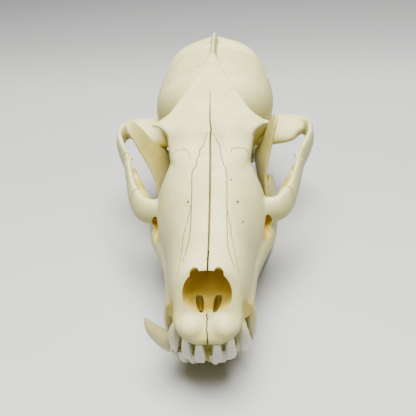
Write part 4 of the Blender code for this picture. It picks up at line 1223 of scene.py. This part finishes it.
mark(canines, "warmth", nearness(canines, [(10.0, 13.0, 0.0, 5.0, 0.9)]))
canines.data.materials.append(CANINE_ENAMEL)
for piece in (row, canines):
    place(piece, "cranium")

# Table: a wide sheet of pale grey paper, matt, lying flat under the jaw, with painted shade darkening it
# towards its far edge. It is only the set, and no piece of the object.
SHEET_HALF = 4.0
paper, tree, surface, where = new_finish("matt grey paper")
# Paper fibres are far finer than a pixel, so only faint clouds 60 mm across are drawn, over painted shade
# that darkens the sheet slowly from its near edge to its far one, where the lamp's light falls off
cloud = node(tree, "ShaderNodeTexNoise", {"Scale": 16.0, "Detail": 2.0}, Vector=where)
along = node(tree, "ShaderNodeSeparateXYZ", {}, Vector=where)
shade = node(tree, "ShaderNodeMapRange", {"From Min": -0.15, "From Max": 0.35}, Value=along.outputs["Y"])
falloff_ramp = node(tree, "ShaderNodeValToRGB", {}, Fac=shade.outputs["Result"])
steps = falloff_ramp.color_ramp.elements
steps[0].color, steps[1].color = linear("d8dae0"), linear("94969e")
for at, grey in ((0.4, "c2c4cc"), (0.6, "c2c4cc"), (0.78, "a2a4ac")):
    steps.new(at).color = linear(grey)
tone = node(
    tree, "ShaderNodeMixRGB", {"blend_type": "MULTIPLY", "Fac": 0.04}, Color1=falloff_ramp.outputs["Color"],
    Color2=cloud.outputs["Color"],
)
tree.links.new(tone.outputs["Color"], surface.inputs["Base Color"])
set_shader(surface, {"Roughness": 0.9, "Specular IOR Level": 0.2})
shape = bmesh.new()
bmesh.ops.create_grid(shape, x_segments=1, y_segments=1, size=SHEET_HALF)
sheet = finished("table", shape)
sheet.data.materials.append(paper)
bpy.context.scene.collection.objects.link(sheet)

# Light: one big square soft lamp overhead, in a dim and evenly lit pale room, so that the shadows on the
# table are soft and wide.
LAMP_PLACE = (0.015, -0.05, 0.64)
LAMP_AIM = (0.0, -0.03, 0.03)
LAMP_SIDE = 0.42
LAMP_WATTS = 13.9
ROOM_STRENGTH = 0.1
room = bpy.data.worlds.new("room")
room.use_nodes = True
set_shader(room.node_tree.nodes["Background"], {"Color": linear("fffdf4"), "Strength": ROOM_STRENGTH})
bpy.context.scene.world = room
glow = bpy.data.lights.new("overhead lamp", "AREA")
glow.shape = "SQUARE"
glow.size = LAMP_SIDE
glow.energy = LAMP_WATTS
glow.color = linear("fffcee")[:3]
lamp = bpy.data.objects.new("overhead lamp", glow)
lamp.location = LAMP_PLACE
lamp.rotation_euler = (Vector(LAMP_AIM) - Vector(LAMP_PLACE)).to_track_quat("-Z", "Y").to_euler()
bpy.context.scene.collection.objects.link(lamp)

# Camera: in front of the snout and 35 degrees above it, a touch to the animal's left and barely tilted. It
# stands as close as the photo's strong perspective tells, and sees the photo's frame.
CAMERA_TURN = 4.0
CAMERA_DROP = 35.1
CAMERA_TILT = -3.4
CAMERA_REACH = 177.0
CAMERA_AIM = (-2.2, 60.0, -1.4)
FOCAL_PIXELS = 531.0
PICTURE_PIXELS = 416
SENSOR_WIDTH = 36.0
turn, drop, tilt = (math.radians(angle) for angle in (CAMERA_TURN, CAMERA_DROP, CAMERA_TILT))
ahead = Vector((-math.sin(turn) * math.cos(drop), math.cos(turn) * math.cos(drop), -math.sin(drop)))
level = Vector((math.cos(turn), math.sin(turn), 0))
upright = level.cross(ahead)
right = level * math.cos(tilt) + upright * math.sin(tilt)
top = upright * math.cos(tilt) - level * math.sin(tilt)
lens = bpy.data.cameras.new("camera")
lens.sensor_width = SENSOR_WIDTH
lens.lens = SENSOR_WIDTH * FOCAL_PIXELS / PICTURE_PIXELS
lens.clip_start = 0.01
camera = bpy.data.objects.new("camera", lens)
turned = Matrix((right, top, -ahead)).transposed().to_4x4()
stand = Matrix.Translation((Vector(CAMERA_AIM) - ahead * CAMERA_REACH) * MM)
camera.matrix_world = TO_WORLD @ stand @ turned
bpy.context.scene.collection.objects.link(camera)
bpy.context.scene.camera = camera
